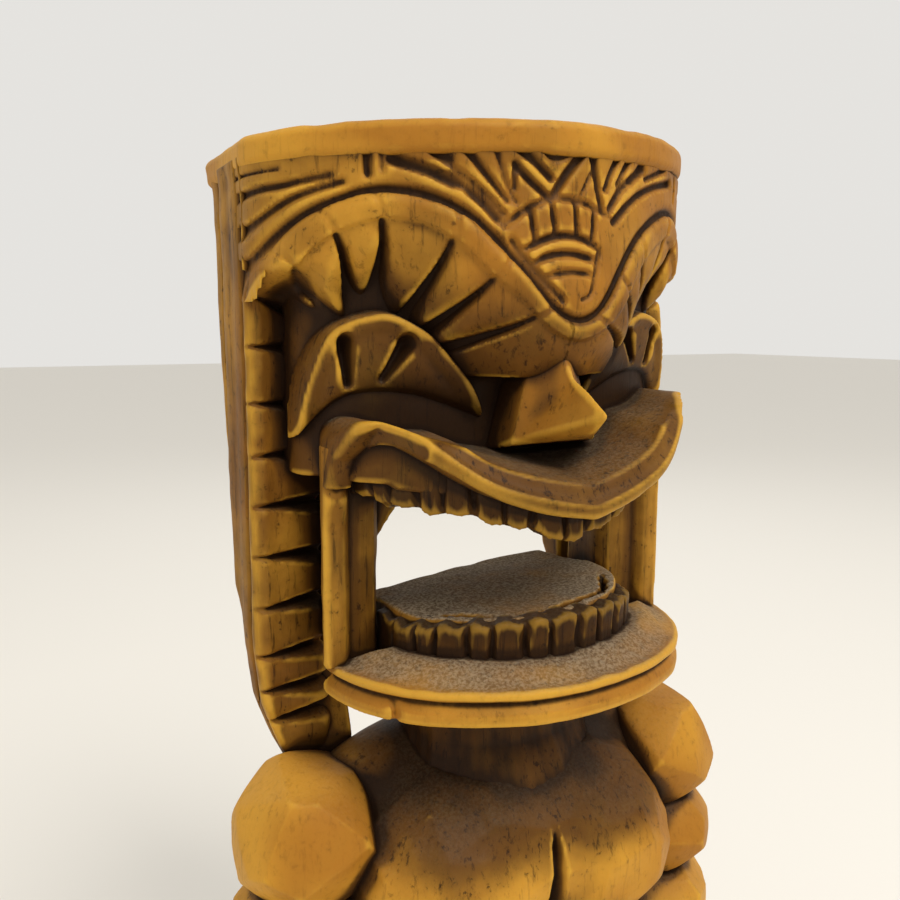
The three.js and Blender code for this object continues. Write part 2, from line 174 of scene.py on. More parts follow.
def to_line(x, z, points):
    """The distance to an open line."""
    best = np.full(x.shape, 1e9, F)
    for (ax, az), (bx, bz) in zip(points[:-1], points[1:]):
        dx, dz = bx - ax, bz - az
        t = np.clip(((x - ax) * dx + (z - az) * dz) / (dx * dx + dz * dz + 1e-9), 0, 1)
        best = np.minimum(best, (x - ax - t * dx) ** 2 + (z - az - t * dz) ** 2)
    return np.sqrt(best)


def polygon(x, z, points):
    """The distance to a closed outline, negative inside it."""
    ring = list(points) + [points[0]]
    inside = np.zeros(x.shape, bool)
    for (ax, az), (bx, bz) in zip(ring[:-1], ring[1:]):
        if az != bz:
            inside ^= ((az > z) != (bz > z)) & (x < (bx - ax) * (z - az) / (bz - az) + ax)
    d = to_line(x, z, ring)
    return np.where(inside, -d, d)


def softened(points, times=2):
    """An open line with its corners cut."""
    for _ in range(times):
        cut = [points[0]]
        for (ax, az), (bx, bz) in zip(points[:-1], points[1:]):
            cut.append((0.75 * ax + 0.25 * bx, 0.75 * az + 0.25 * bz))
            cut.append((0.25 * ax + 0.75 * bx, 0.25 * az + 0.75 * bz))
        points = cut + [points[-1]]
    return points


class Chart:
    """Values worked out once on a grid over X and Z, and read between its points."""

    STEP = 0.15

    def __init__(self, fill, x0, x1, z0, z1):
        self.x0, self.z0 = x0, z0
        xs = np.arange(x0, x1 + self.STEP, self.STEP)
        zs = np.arange(z0, z1 + self.STEP, self.STEP)
        self.values = fill(*np.meshgrid(xs, zs, indexing="ij")).astype(F)

    def __call__(self, x, z):
        nx, nz = self.values.shape
        sx = np.clip((x - self.x0) / self.STEP, 0, nx - 1.001)
        sz = np.clip((z - self.z0) / self.STEP, 0, nz - 1.001)
        i, k = sx.astype(np.int32), sz.astype(np.int32)
        tx, tz = (sx - i).astype(F), (sz - k).astype(F)
        v = self.values
        near = v[i, k] * (1 - tx) + v[i + 1, k] * tx
        far = v[i, k + 1] * (1 - tx) + v[i + 1, k + 1] * tx
        return near * (1 - tz) + far * tz


LEAN = 0.045  # how much higher the eyes and the mouth sit for each mm towards the figure's left


def leaned(x, z):
    """The height in the upright face that a point of the leaning one stands for."""
    return z - F(LEAN) * x * step(88, 104, z) * (1 - step(124, 134, z))


# The line along the top of the band over the eyes, from the right side of the head to the left
BROW = [(-30.4, 133.1), (-29.5, 136.6), (-27.8, 139.2), (-25.9, 141.1), (-23.4, 142.5), (-19.9, 143.7)]
BROW += [(-16.2, 143.5), (-13.3, 142.5), (-10.2, 140.6), (-7.5, 137.6), (-4.6, 134.6), (-1.8, 131.0)]
BROW += [(1.0, 129.8), (3.6, 130.6), (5.6, 132.6), (8.2, 136.2), (11.2, 139.6), (14.9, 142.0), (19.4, 143.6)]
BROW += [(23.4, 142.8), (26.4, 140.6), (28.6, 137.6), (30.4, 133.6)]
BROW = softened(BROW)
BROW_REACH, BROW_FOOT = 40.0, 131.0  # where the line would go on to, outside the head
HEAD_FOOT = 70.0


def from_brow(x, z):
    """The distance from the brow line alone, negative above it."""
    line = [(-BROW_REACH, BROW_FOOT)] + BROW + [(BROW_REACH, BROW_FOOT)]
    inside = polygon(x, z, [(-BROW_REACH, HEAD_FOOT)] + line + [(BROW_REACH, HEAD_FOOT)])
    return -np.sign(inside) * to_line(x, z, line)


FROM_BROW = Chart(from_brow, -34, 34, 118, 154)

# Knife strokes on the forehead: half the width, the depth, and the points
STROKES = [
    (0.55, 0.75, [(-7.4, 140.2), (-4.6, 142.2), (-1.9, 143.3), (1.6, 143.2), (6.1, 141.8)]),
    (0.45, 0.8, [(-4.4, 142.0), (-4.0, 138.6)]),
    (0.45, 0.8, [(-1.9, 143.0), (-1.5, 139.3)]),
    (0.45, 0.8, [(1.1, 142.9), (1.3, 139.3)]),
    (0.45, 0.8, [(3.8, 142.0), (3.3, 138.9)]),
    (0.6, 0.85, [(-5.0, 137.8), (-2.8, 138.9), (-0.7, 139.4), (1.9, 139.2), (3.6, 138.4)]),
    (0.6, 0.8, [(-4.0, 136.4), (-2.4, 137.2), (0.4, 137.5), (3.0, 137.0)]),
    (0.5, 0.7, [(-2.8, 134.9), (-0.2, 135.5), (2.6, 135.3)]),
    (0.55, 0.75, [(-6.6, 138.6), (-5.9, 137.7), (-4.4, 136.0), (-2.7, 134.1), (-1.0, 132.4)]),
    (0.4, 0.6, [(4.2, 138.0), (3.4, 135.2), (2.7, 133.0), (1.4, 132.5)]),
    (0.7, 1.0, [(2.4, 148.6), (0.4, 146.4), (-1.5, 143.8)]),
    (0.6, 0.9, [(3.3, 148.8), (4.0, 146.1), (5.1, 142.2)]),
    (0.35, 0.6, [(3.3, 146.2), (1.8, 143.6)]),
    (0.6, 0.9, [(-6.0, 146.6), (-4.3, 144.9), (-2.3, 143.4)]),
    (0.4, 0.7, [(-6.1, 146.0), (-6.0, 144.0)]),
    (0.6, 0.85, [(-5.7, 148.2), (-3.7, 146.9), (-1.9, 145.3)]),
    (0.4, 0.6, [(-3.0, 148.4), (-2.0, 147.4), (-0.9, 147.4), (0.8, 148.2)]),
    (0.55, 0.8, [(-14.3, 147.4), (-12.2, 145.9), (-8.9, 143.4), (-7.3, 141.4)]),
    (0.5, 0.75, [(-11.5, 148.2), (-9.3, 145.7), (-6.9, 142.8)]),
    (0.35, 0.5, [(-8.1, 147.9), (-7.1, 144.8), (-5.9, 142.6)]),
    (0.8, 0.9, [(-14.3, 145.6), (-11.8, 144.6), (-9.4, 142.6), (-8.0, 140.9)]),
    (0.8, 0.95, [(-18.2, 146.8), (-15.1, 145.9), (-12.3, 144.5)]),
    (0.5, 0.7, [(-14.7, 148.0), (-12.6, 146.8)]),
    (0.7, 0.9, [(6.3, 142.6), (8.4, 145.3), (12.4, 147.6)]),
    (0.5, 0.8, [(5.5, 144.6), (6.4, 146.6), (7.4, 148.2)]),
    (0.5, 0.8, [(7.6, 145.4), (8.8, 147.2), (9.6, 148.4)]),
    (0.5, 0.8, [(10.2, 146.0), (11.4, 147.4), (12.2, 148.2)]),
    (0.6, 0.9, [(6.8, 141.2), (10.4, 144.1), (14.4, 145.9), (19.4, 147.0)]),
    (0.45, 0.7, [(13.0, 146.6), (15.8, 147.6), (17.6, 148.4)]),
    (0.4, 0.6, [(21.5, 147.8), (21.4, 145.2)]),
    (0.4, 0.6, [(24.4, 146.6), (27.6, 145.4), (29.6, 144.0)]),
    (0.3, 0.55, [(-30.1, 146.2), (-27.9, 146.3)]),
    (0.55, 0.8, [(-30.4, 143.9), (-29.1, 144.4), (-27.4, 144.5), (-26.1, 144.8), (-23.6, 145.3)]),
    (0.55, 0.8, [(-30.3, 139.6), (-29.1, 141.2), (-27.2, 142.9), (-25.3, 143.8), (-22.6, 144.6)]),
    (0.5, 0.8, [(-20.4, 148.0), (-20.3, 145.3)]),
    (0.35, 0.5, [(-19.1, 147.9), (-19.1, 145.8)]),
]


def strokes(x, z):
    """How deep the forehead's pattern is cut."""
    cut = np.zeros(x.shape)
    for half, depth, points in STROKES:
        d = to_line(x, z, softened(points, 1))
        cut = np.maximum(cut, depth * np.clip(1 - (d / half) ** 2, 0, 1))
        cut = np.minimum(cut, 1.1) - 0.12 * np.exp(-(((d - half - 0.45) / 0.35) ** 2))
    return cut


STROKE_DEPTH = Chart(strokes, -32, 32, 126, 150)

# The notches between the locks of hair over an eye, in degrees about its middle
EYE_MIDDLE = (16.5, 124.0)
LOCKS = [34, 49, 66, 81, 104.5, 126, 151]
# The heights of the notches down the column at the side of the face
NOTCHES = [133.2, 127.3, 120.7, 114.5, 108.5, 102.4, 96.0, 90.1, 85.7, 81.6]

# The eye: the crest of its lid, and the crease under it, with X outwards
LID = [(26.3, 117.6), (26.2, 121.8), (25.4, 125.4), (24.2, 128.8), (22.5, 130.3), (20.4, 131.2)]
LID += [(17.5, 131.7), (15.1, 130.8), (12.3, 129.2), (10.1, 126.7), (7.8, 123.8), (6.6, 121.2), (6.0, 119.4)]
CREASE = [(26.3, 117.6), (25.2, 118.1), (23.2, 121.0), (21.0, 122.8), (18.2, 123.2), (14.0, 122.7)]
CREASE += [(10.8, 121.5), (6.0, 119.4)]
# The two cuts down the eye: their ends, and half the width at each end
SLOTS = [((21.5, 128.6), (20.9, 124.2), 0.85, 0.5), ((15.2, 128.2), (17.4, 124.6), 1.0, 0.45)]


def lid_height(u, z):
    """How far the eye stands out of its socket."""
    lid, crease = softened(LID), softened(CREASE)
    inside = -polygon(u, z, lid + crease[::-1])
    up, down = to_line(u, z, lid), to_line(u, z, crease)
    lift = 0.5 + 2.3 * (down / (up + down + 1e-6)) ** 0.8
    lift -= 0.2 * np.exp(-(((up - 2.3) / 0.6) ** 2)) * np.clip(down / 3, 0, 1)
    for (ax, az), (bx, bz), wide, narrow in SLOTS:
        t = np.clip(((u - ax) * (bx - ax) + (z - az) * (bz - az)) / ((bx - ax) ** 2 + (bz - az) ** 2), 0, 1)
        d = np.hypot(u - ax - t * (bx - ax), z - az - t * (bz - az))
        half = wide + (narrow - wide) * t
        lift -= (1.9 - 0.9 * t) * np.clip(1.15 - d / half, 0, 1) ** 0.8
    edge = np.clip(inside / 0.55, 0, 1)
    return np.where(inside > 0, lift * np.sqrt(edge), 0) - 1.5 * np.clip(-inside - 1.2, 0, 3)


LID_HEIGHT = Chart(lid_height, 0, 32, 112, 136)

# The upper lip, with X outwards: the top of its roll, and the edge of the mouth
LIP_RIDGE = [(24.3, 90.0), (24.3, 111.4), (24.2, 116.5), (23.6, 118.8), (22.4, 120.3), (21.1, 120.7)]
LIP_RIDGE += [(19.3, 119.9), (16.9, 118.4), (13.5, 115.5), (10.8, 113.7), (6.2, 112.1), (1.0, 110.9)]
LIP_RIDGE += [(0.0, 110.8)]
LIP_EDGE = [(21.2, 90.0), (21.2, 113.5), (20.9, 116.2), (20.3, 117.5), (19.6, 118.0), (18.6, 117.8)]
LIP_EDGE += [(16.7, 116.5), (13.3, 113.9), (10.6, 112.2), (5.9, 110.4), (0.7, 109.3), (0.0, 109.2)]


def above(line):
    """The distance above one of the lip's lines, negative below it."""
    return lambda u, z: polygon(np.abs(u), z, softened(line) + [(-9, line[-1][1]), (-9, 88)])


ABOVE_RIDGE = Chart(above(LIP_RIDGE), 0, 32, 88, 136)
ABOVE_EDGE = Chart(above(LIP_EDGE), 0, 32, 88, 136)
# The lower edge of the upper teeth: X outwards, and the height there
TEETH_EDGE = (
    [0, 1.0, 4.6, 7.9, 10.9, 13.6, 16.1, 17.9, 18.6],
    [106, 106.0, 107.2, 108.4, 109.3, 109.9, 110.3, 110.6, 111.2],
)

# ---- the head ----

# Half the width of the head by height, and where its back lies in Y
HEAD_Z = [70, 74, 76, 78, 80, 82, 84, 90, 146, 151]
HEAD_HALF = [24.5, 25.5, 26.4, 27.4, 28.2, 28.9, 29.5, 30.2, 30.4, 30.9]
BACK_Z = [74, 78, 80, 84, 89, 94, 97, 107, 116, 133, 151]
BACK_Y = [9.6, 10.5, 11.4, 13.2, 13.8, 15.1, 16.8, 18.4, 20.7, 22.2, 23.4]
# Grooves down the back in X and down the sides in Y, and the front of the column in Y
HAIR_GROOVES = [-23.5, -17.2, -11.4, -5.6, 0.4, 6.0, 11.6, 17.2, 23.2]
SIDE_GROOVE = 6.3
COLUMN_FRONT = 4.7
BROW_POWER = 1.75  # below 2, the plan of the forehead is a little more pointed than an ellipse


def wave(y, z, size):
    """A slow sideways drift, so that long cuts aren't ruled lines."""
    return F(0.35) * np.sin(z / F(9) + y) + F(0.25) * np.sin(z / F(23) + F(size))


def slab(x, y, z):
    """The flat slab of hair behind the face, from its front corner to its back."""
    u = np.abs(x)
    yy = y + wave(y * 0, z, 2.0) * F(0.6)
    side = u - table(z, HEAD_Z, HEAD_HALF)
    side += vee(yy, SIDE_GROOVE, 0.75, 0.9) + vee(yy, 15.9, 0.8, 0.9)
    side += F(0.35) * step(15.4, 16.6, yy) + F(0.1) * np.sin(yy * F(1.3))
    back = y - table(z, BACK_Z, BACK_Y)
    xx = x + wave(x * 0, z, 5.0)
    for at in HAIR_GROOVES:
        back += vee(xx, at, 1.1, 0.95)
    near = np.min([np.abs(xx - at) for at in HAIR_GROOVES], axis=0)
    back -= F(0.35) * step(0.6, 2.6, near)
    back += F(0.0035) * u * u
    return smax(side, back, 1.4) + hand_cut(x, y, z) * F(0.8)


def between(z, low, high):
    """The slice between two heights."""
    return np.maximum(low - z, z - high)


def narrowed(x):
    """The head is a little narrower on the figure's left."""
    return np.where(x > 0, x * F(1.04), x)


RIM_TOP, RIM_HALF_HEIGHT = 151.6, 1.85


def crown_rim(x, y, z):
    top = RIM_TOP + F(0.03) * x + F(0.01) * y - F(0.0003) * (x * x + y * y)
    front = bow(narrowed(x), y, 30.5, 15.9, 4.5, BROW_POWER)
    back = smax(front, y - 23.6 + F(0.002) * x * x, 1.2)
    upright = np.abs(z - (top - RIM_HALF_HEIGHT)) - RIM_HALF_HEIGHT
    dent = F(0.35) * np.maximum(noise(x, y, z, 4.0, 3.0) - F(0.35), 0)
    corner = F(1.2) * np.exp(-((x - 29.5) ** 2 + (y - 1) ** 2) / F(7))
    return rounded(back, upright, 1.15) + hand_cut(x, y, z) * F(0.7) + dent + corner


def forehead_surface(x, y, z):
    front = F(15.3) + F(1.3) * step(146, 131, z)
    return bow(narrowed(x), y, 30.3, front, 4.6, BROW_POWER)


def forehead_panel(x, y, z):
    f = forehead_surface(x, y, z) + F(0.8) * STROKE_DEPTH(x, z) + hand_cut(x, y, z)
    t = FROM_BROW(x, z)
    f += F(0.75) * np.exp(-((t + 0.2) ** 2) / F(0.3))
    return meet(f, t - 0.9, z - 148.6, y - 7.5)


def cove(t):
    """How deep the face is cut back at a distance t below the brow line."""
    return F(7.4) * (np.clip(t - 2.5, 0, 12) / 8.6) ** 1.45


def column_share(u, z):
    """1 where the side of the face is the notched column, 0 where it is the arch over the eye."""
    edge = 19.8 + 5.2 * step(126.5, 133, z)
    return step(136.5, 131.5, z) * step(edge - 1.5, edge + 1.5, u)


def core(x, y, z):
    """The solid head behind the face, and the height of the roof of the mouth."""
    u = np.abs(x)
    zl = leaned(x, z)
    socket = np.maximum(bow(u, y, 25.6, 7.4, 4.6), 111.5 - zl)
    t = FROM_BROW(x, z)
    arch = forehead_surface(x, y, z) + F(1.5) + cove(t)
    arch += (F(10.5) - y - arch) * column_share(u, z)
    arch = meet(arch, t - 12.5, 124 - z, z - 148.2, u - 29.2)
    whole = smin(socket, arch * F(0.7), 1.2)
    mouth = meet(u - 22.0, bow(u, y, 22.5, 17.0, -1), ABOVE_RIDGE(u, zl) + 0.5)
    roof = table(u, *TEETH_EDGE) + 2.2 + z - zl
    return smin(whole, mouth, 0.8), roof


def cranium(x, y, z):
    face, roof = core(x, y, z)
    u = np.abs(x)
    hair = meet(slab(x, y, z), u - 17.4, 4.4 - y, z - 148.4)
    f = np.minimum(np.maximum(face, y - 9), hair)
    return smax(f, roof - z, 0.8) + hand_cut(x, y, z) * F(0.6)


def column_front(u, z, side):
    """Where the front of the notched column lies, in Y."""
    start = 29.9 if side < 0 else 30.9
    inward = np.maximum(start - u, 0)
    y = F(COLUMN_FRONT) + F(0.045) * inward**1.6 * (1 + F(0.9) * step(114, 124, z))
    bead = np.exp(-(((u - 28.8) / 1.1) ** 2))
    y -= F(0.35) * bead
    edges = NOTCHES + [76.0, 139.0]
    edges.sort()
    for low, high in zip(edges[:-1], edges[1:]):
        s = np.clip((z - low) / (high - low), 0, 1)
        y -= F(0.45) * np.sin(math.pi * s)
    for i, at in enumerate(NOTCHES):
        drift = at - (0.38 if at > 133 else 0.04 * (i % 3)) * (29.8 - u)
        half = F(0.18) + F(0.14) * inward
        depth = np.minimum(F(0.3) + F(0.36) * inward, 2.4)
        y += vee(z, drift, half, depth)
    return y


def mane(x, y, z, side):
    u = side * x
    t = FROM_BROW(x, z)
    outside = 0.1 - t
    narrow = step(9.5, 4.0, np.abs(x))
    band = F(2.5) - F(0.8) * narrow
    depth = F(0.35) * np.exp(-(t**2) / F(0.1)) - F(0.25) * np.exp(-(((t - band * 0.5) / 0.8) ** 2))
    inside = np.maximum(t - band, 0)
    du, dz = u - EYE_MIDDLE[0], z - EYE_MIDDLE[1]
    radius = np.hypot(du, dz)
    angle = np.degrees(np.arctan2(dz, du)) + F(1.2) * np.sin(radius * F(0.35))
    depth += F(0.5) * step(0, 0.5, inside) + cove(t)
    for low, high in zip(LOCKS[:-1], LOCKS[1:]):
        s = np.clip((angle - low) / (high - low), 0, 1)
        depth -= F(0.95) * np.sin(math.pi * s) * step(0, 3.5, inside)
    for at in LOCKS:
        d = radius * np.abs(np.sin(np.radians(angle - at)))
        half = F(0.4) + F(0.07) * inside
        cut = np.minimum(F(0.5) + F(0.3) * inside, 2.2) * step(-0.4, 0.3, inside)
        depth += vee(d, 0, half, cut) * (np.abs(angle - at) < 40)
    arch = (forehead_surface(x, y, z) + depth) * F(0.7)
    column = (column_front(u, z, side) - y) * F(0.8)
    down = column_share(u, z)
    f = arch + (column - arch) * down
    wall = u - table(z, HEAD_Z, HEAD_HALF) + vee(y, SIDE_GROOVE, 0.75, 0.9)
    f = smax(f, wall, 0.8)
    foot = 72.0 - z
    inner = np.minimum(np.maximum(t - 12.0, 124.0 - z), 20.2 - u)
    back = np.minimum(6.9 + 3.6 * step(29.3, 28.7, u) * step(137, 134, z), table(z, BACK_Z, BACK_Y) - 0.8)
    f = meet(f, outside, y - back, foot, inner, -0.6 - u)
    return f + hand_cut(x, y, z) * F(0.9)


def eye(x, y, z, side):
    u = side * x
    zl = leaned(x, z)
    f = bow(u, y, 25.4, 7.3, 4.6) - LID_HEIGHT(u, zl)
    f = meet(f * F(0.85), 4.5 - u, u - 27.2, between(zl, 115.5, 133.0), y - 3.2)
    return f + hand_cut(x, y, z) * F(0.6)


# Corners of the nose, whose flat faces meet at them, and a point inside it
NOSE_TIP, NOSE_WING, NOSE_RIDGE = (0, -22.9, 120.4), (5.6, -12.6, 116.9), (0, -16.4, 124.2)
NOSE_TOP, NOSE_LOW, NOSE_HEART = (2.2, -12.6, 128.6), (0, -20.4, 118.2), (0, -14, 119.5)


def nose(x, y, z):
    u = np.abs(x - F(0.5) + F(0.04) * (z - 120))
    bridge = plane(u, y, z, NOSE_TOP, NOSE_RIDGE, NOSE_WING, NOSE_HEART)
    middle = plane(u, y, z, (0, -13.6, 128.6), (1, -13.3, 128.6), (0, -16.7, 124.2), NOSE_HEART)
    flank = (u - 2.2 - (128.6 - z) * F(0.29)) * F(0.96)
    floor = plane(u, y, z, NOSE_LOW, (1, -20.4, 118.2), (0, -13, 116.6), NOSE_HEART)
    upper = smax(meet(bridge, flank, floor), smax(middle, z - 128.5, 0.8), 0.4)
    front = plane(u, y, z, NOSE_RIDGE, NOSE_TIP, NOSE_WING, NOSE_HEART)
    under = plane(u, y, z, NOSE_TIP, NOSE_LOW, NOSE_WING, NOSE_HEART)
    lower = smax(smax(front, under, 0.5), np.maximum(floor, flank), 0.5)
    return np.maximum(smin(upper, lower, 0.35), y + 4.5) + hand_cut(x, y, z) * F(0.55)


def lip_plan(u, y):
    return bow(u, y, 24.5, 22.2, -1.0)


def post_side(u, y):
    """The outer side of the mouth's corner posts, which runs back and in to the column."""
    return ((u - F(24.35)) * 6 + (y + 3) * F(2.1)) / F(6.36)


def corner_front(zl):
    """How far forward the mouth's corner reaches: the post's ridge swells into the lip's roll."""
    return table(zl, [104, 108, 112, 116, 119, 121.5], [-3.5, -3.6, -4.3, -6.3, -9.6, -14.0])


def upper_lip(x, y, z):
    u = np.abs(np.where(x > 0, x * F(1.02), x))
    zl = leaned(x, z)
    ridge, edge = ABOVE_RIDGE(u, zl), ABOVE_EDGE(u, zl)
    depth = F(0.35) * np.clip(-ridge / 2.2, 0, 1) ** 3 + F(0.8) * step(-0.15, 0.75, ridge)
    depth += F(0.62) * np.clip(ridge - 0.7, 0, 3) - F(0.3) * np.exp(-(((ridge - 2.0) / 0.6) ** 2))
    plan = lip_plan(u, y)
    face = plan + depth
    cheek = table(u, [0, 13, 17, 21], [2.2, 1.9, 0.6, 0.0])
    rise = table(u, [0, 12, 18], [0.16, 0.12, -0.03])
    shelf = (ridge - cheek - rise * (-plan - 1.8)) * F(0.97)
    f = smax(face, shelf, 0.7)
    corner = corner_front(zl) - y
    f = np.where(u > 17, smax(f, corner - F(2.2) * np.maximum(20.6 - u, 0), 1.5), f)
    f = smax(f, -edge, 0.6)
    f = smax(f, post_side(u, y), 0.5)
    f = meet(f, y - 1.5, 112.6 - zl - 20 * (u < 20), zl - 124.5)
    return f + hand_cut(x, y, z) * F(0.7)


# The front of the corner posts: X outwards, and where it lies there in Y
POST_FRONT = (
    [15.6, 16.2, 17.2, 19.5, 20.6, 21.3, 21.9, 23.7, 24.3],
    [1.8, 0.0, -1.4, -2.0, -2.1, -3.1, -3.5, -3.5, -3.0],
)


def lip_post(x, y, z, side):
    u = side * x
    front = table(u, *POST_FRONT)
    zl = leaned(x, z)
    front += (corner_front(zl) + F(3.5) + step(111, 113.5, zl)) * step(20.2, 21.9, u)
    f = np.maximum((front - y) * F(0.85), lip_plan(u, y) + F(0.2))
    f = smax(f, post_side(u, y), 0.5)
    f = smax(f, 16.2 + F(0.06) * np.maximum(y, 0) - F(5.0) * step(102, 111.5, zl) - u, 0.8)
    grain = F(0.03) * np.sin(u * F(7.5) + F(0.4) * np.sin(z * F(0.3)))
    return meet(f + grain, y - 7.6, between(zl, 90.4, 117.4)) + hand_cut(x, y, z) * F(0.7)


def hair_fall(x, y, z, side):
    u = side * x
    inner = table(z, [76, 84, 90, 97, 112, 113], [17.6, 17.2, 17.0, 16.6, 16.5, 17.0])
    inner = inner + F(0.04) * (y - 6)
    top = z - 148.4
    f = meet(slab(x, y, z), top)
    f = smax(f, inner - u, 1.0)
    foot = 72.4 - z
    start = 4.9 + (1.5 + 3.6 * step(29.3, 28.7, u)) * step(137, 134, z)
    start = np.minimum(start, table(z, BACK_Z, BACK_Y) - 4.2) - y
    f = meet(f, start, foot)
    return f


def arc(u, y, w, front, corner):
    """The distance along a bow, from its middle."""
    t = np.arctan2(u / w, np.maximum(corner - y, 1e-3) / (corner + front))
    return t * (w + front + corner) / 2


def teeth_cut(s, z, pitch, half, depth, seed):
    """How deep the grooves between the teeth are: none is quite upright or evenly spaced."""
    wobble = s + F(0.35) * np.sin(s * F(0.9) + F(seed)) + F(0.12) * np.sin(z + s)
    k = np.abs((wobble / pitch) % 1.0 - F(0.5)) * pitch
    return vee(k, 0, half, depth)


# The bows that the teeth stand on, and the one that the tongue is cracked along
UPPER_BOW = (20.5, 18.5, -1.0)
LOWER_BOW = (17.3, 16.7, -1.0)
CRACK_BOW = (14.2, 13.4, -1.0)


def upper_teeth(x, y, z):
    u = np.abs(x)
    zl = leaned(x, z)
    plan = bow(u, y, *UPPER_BOW)
    s = arc(x, y, *UPPER_BOW)
    pitch = F(3.25)
    f = plan + teeth_cut(s, z, pitch, 0.5, 0.9, 0.6)
    low = table(u, *TEETH_EDGE)
    tip = F(0.35) * np.abs(np.sin(s * F(math.pi) / pitch)) + F(0.2) * np.sin(s * F(0.9))
    f = smax(f, (low + tip - zl) * F(0.9), 0.6)
    inner = -(plan + 5.4)
    f = meet(f, inner, y - 3.0, zl - 119.0, ABOVE_RIDGE(u, zl) + 0.6)
    return f + F(0.06) * np.sin(s * F(9) + noise(x, y, z, 2.0) * 2) + hand_cut(x, y, z) * F(0.6)


def lower_teeth(x, y, z):
    u = np.abs(x)
    plan = bow(u, y, *LOWER_BOW)
    s = arc(x, y, *LOWER_BOW)
    f = plan + teeth_cut(s, z, F(3.35), 0.5, 0.9, 2.2) + F(0.05) * (95 - z)
    crown = table(u, [0, 8, 13, 17.5], [97.1, 96.8, 96.3, 95.2]) + F(0.02) * x
    crown = crown + F(0.22) * np.sin(s * F(1.7) + 1)
    f = smax(f, z - crown, 0.45)
    f = meet(f, -(plan + 3.2), y - 0.5, 90.2 - z, x - 15.0, -16.4 - x)
    return f + F(0.05) * np.sin(s * F(9) + noise(x, y, z, 2.0, 4.0) * 2) + hand_cut(x, y, z) * F(0.5)


def tongue(x, y, z):
    plan = bow(np.abs(x), y, 15.6, 14.9, -1.0)
    back = table(x, [-19, -14.6, -2.5, 5, 14, 19], [5.5, 7.2, 11.6, 13.0, 13.6, 12.4])
    top = 97.0 + F(0.045) * x - F(0.11) * np.maximum(y, 0) + F(0.18) * noise(x, y, z * 0, 3.2, 6.0)
    s = arc(x, y, *CRACK_BOW)
    line = bow(x, y, *CRACK_BOW) + F(0.35) * np.sin(s * F(0.55)) + F(0.12) * np.sin(s * F(2.9))
    crack = vee(line, 0, F(0.5), F(2.2)) * step(-15, -9, s) * step(17, 12, s)
    branch = vee(line + F(0.06) * s, -1, F(0.26), F(0.5)) * step(-15, -9, s) * step(4, -2, s)
    f = meet(plan, y - back)
    f = smax(f, z - top + crack + branch, 0.6)
    return meet(f, np.abs(x) - 15.2, 86.4 - z)


def jaw_plan(x, y, w, front):
    """The plan of the lower lip's ledges, a bow in front with a straight block behind."""
    u = np.abs(x - F(0.5))
    behind = meet(u - 17.2, y - 9.5, -8 - y)
    return np.minimum(np.maximum(bow(u, y, w, front, -1.0), y + 0.4), behind)


def lower_lip_top_ledge(x, y, z):
    lean = z - F(0.012) * x
    plan = jaw_plan(x, y, 24.0, 21.3) + F(0.12) * noise(x, y, z * 0, 3.4, 8.0)
    top = 90.8 + F(0.15) * noise(x, y, z * 0, 2.6, 2.0) + F(1.9) * step(0.6, 5.5, -plan)
    under = F(0.9) * np.clip((89.9 - lean) / 0.5, 0, 1)
    return rounded(plan + under, np.maximum(lean - top, 88.9 - lean), 0.45) + hand_cut(x, y, z) * F(0.5)


def lower_lip_bottom_ledge(x, y, z):
    lean = z - F(0.012) * x
    plan = jaw_plan(x, y, 24.0, 21.2) + F(0.12) * noise(x, y, z * 0, 3.4, 8.0)
    over = F(1.0) * np.clip((lean - 88.0) / 1.5, 0, 1)
    nick = F(0.8) * np.exp(-(((x + 19.2) / 0.28) ** 2) - ((lean - 87.4) / 1.4) ** 2)
    f = plan + over + nick
    return rounded(f, np.maximum(lean - 89.9, 86.7 - lean), 0.5) + hand_cut(x, y, z) * F(0.5)


# ---- the body ----


def neck(x, y, z):
    w = table(z, [70, 74, 77, 80, 88], [15.0, 13.8, 12.8, 12.4, 12.2])
    front = table(z, [70, 74, 79, 88], [13.8, 11.6, 9.3, 8.6])
    s = np.arctan2(x, -y)
    cuts = F(0.08) * np.sin(s * 13 + np.sin(z / F(4))) + F(0.05) * np.sin(s * 41 + z / F(5))
    v = np.where(y < 0, front, 9.8)
    g = np.sqrt((x / w) ** 2 + (y / v) ** 2) + F(1e-4)
    f = (g - 1) * np.minimum(w, v) + cuts * F(0.8)
    return np.maximum(f, between(z, 70, 87.6)) + hand_cut(x, y, z)


def chest(x, y, z):
    u = np.abs(x - F(0.4) * noise(x * 0, y * 0, z, 9.0))
    upper = faceted(x, y, z, (0, -2.6, 64.5), (23.2, 13.6, 13.6), 21)
    pec = faceted(u, y, z, (9.6, -7.6, 62.4), (12.2, 9.6, 10.6), 22)
    f = smin(upper, pec, 2.2)
    yoke = ellipsoid(x, y, z, (0, 2.6, 72.0), (25.0, 8.2, 8.4))
    f = smin(f, yoke, 2.5)
    half = table(z, [56, 62, 68, 71], [1.6, 1.3, 0.9, 0.2])
    groove = vee(u, 0, half, F(1.7)) * step(71.5, 67, z)
    f = f + groove * (y < 0)
    pits = F(0.25) * np.maximum(noise(x, y, z, 1.1, 9.0) - F(0.5), 0) * step(64, 70, z)
    spine = vee(x, 0, 1.4, F(1.2)) * (y > 0)
    return np.maximum(f + pits + spine, 52.0 - z) + hand_cut(x, y, z)


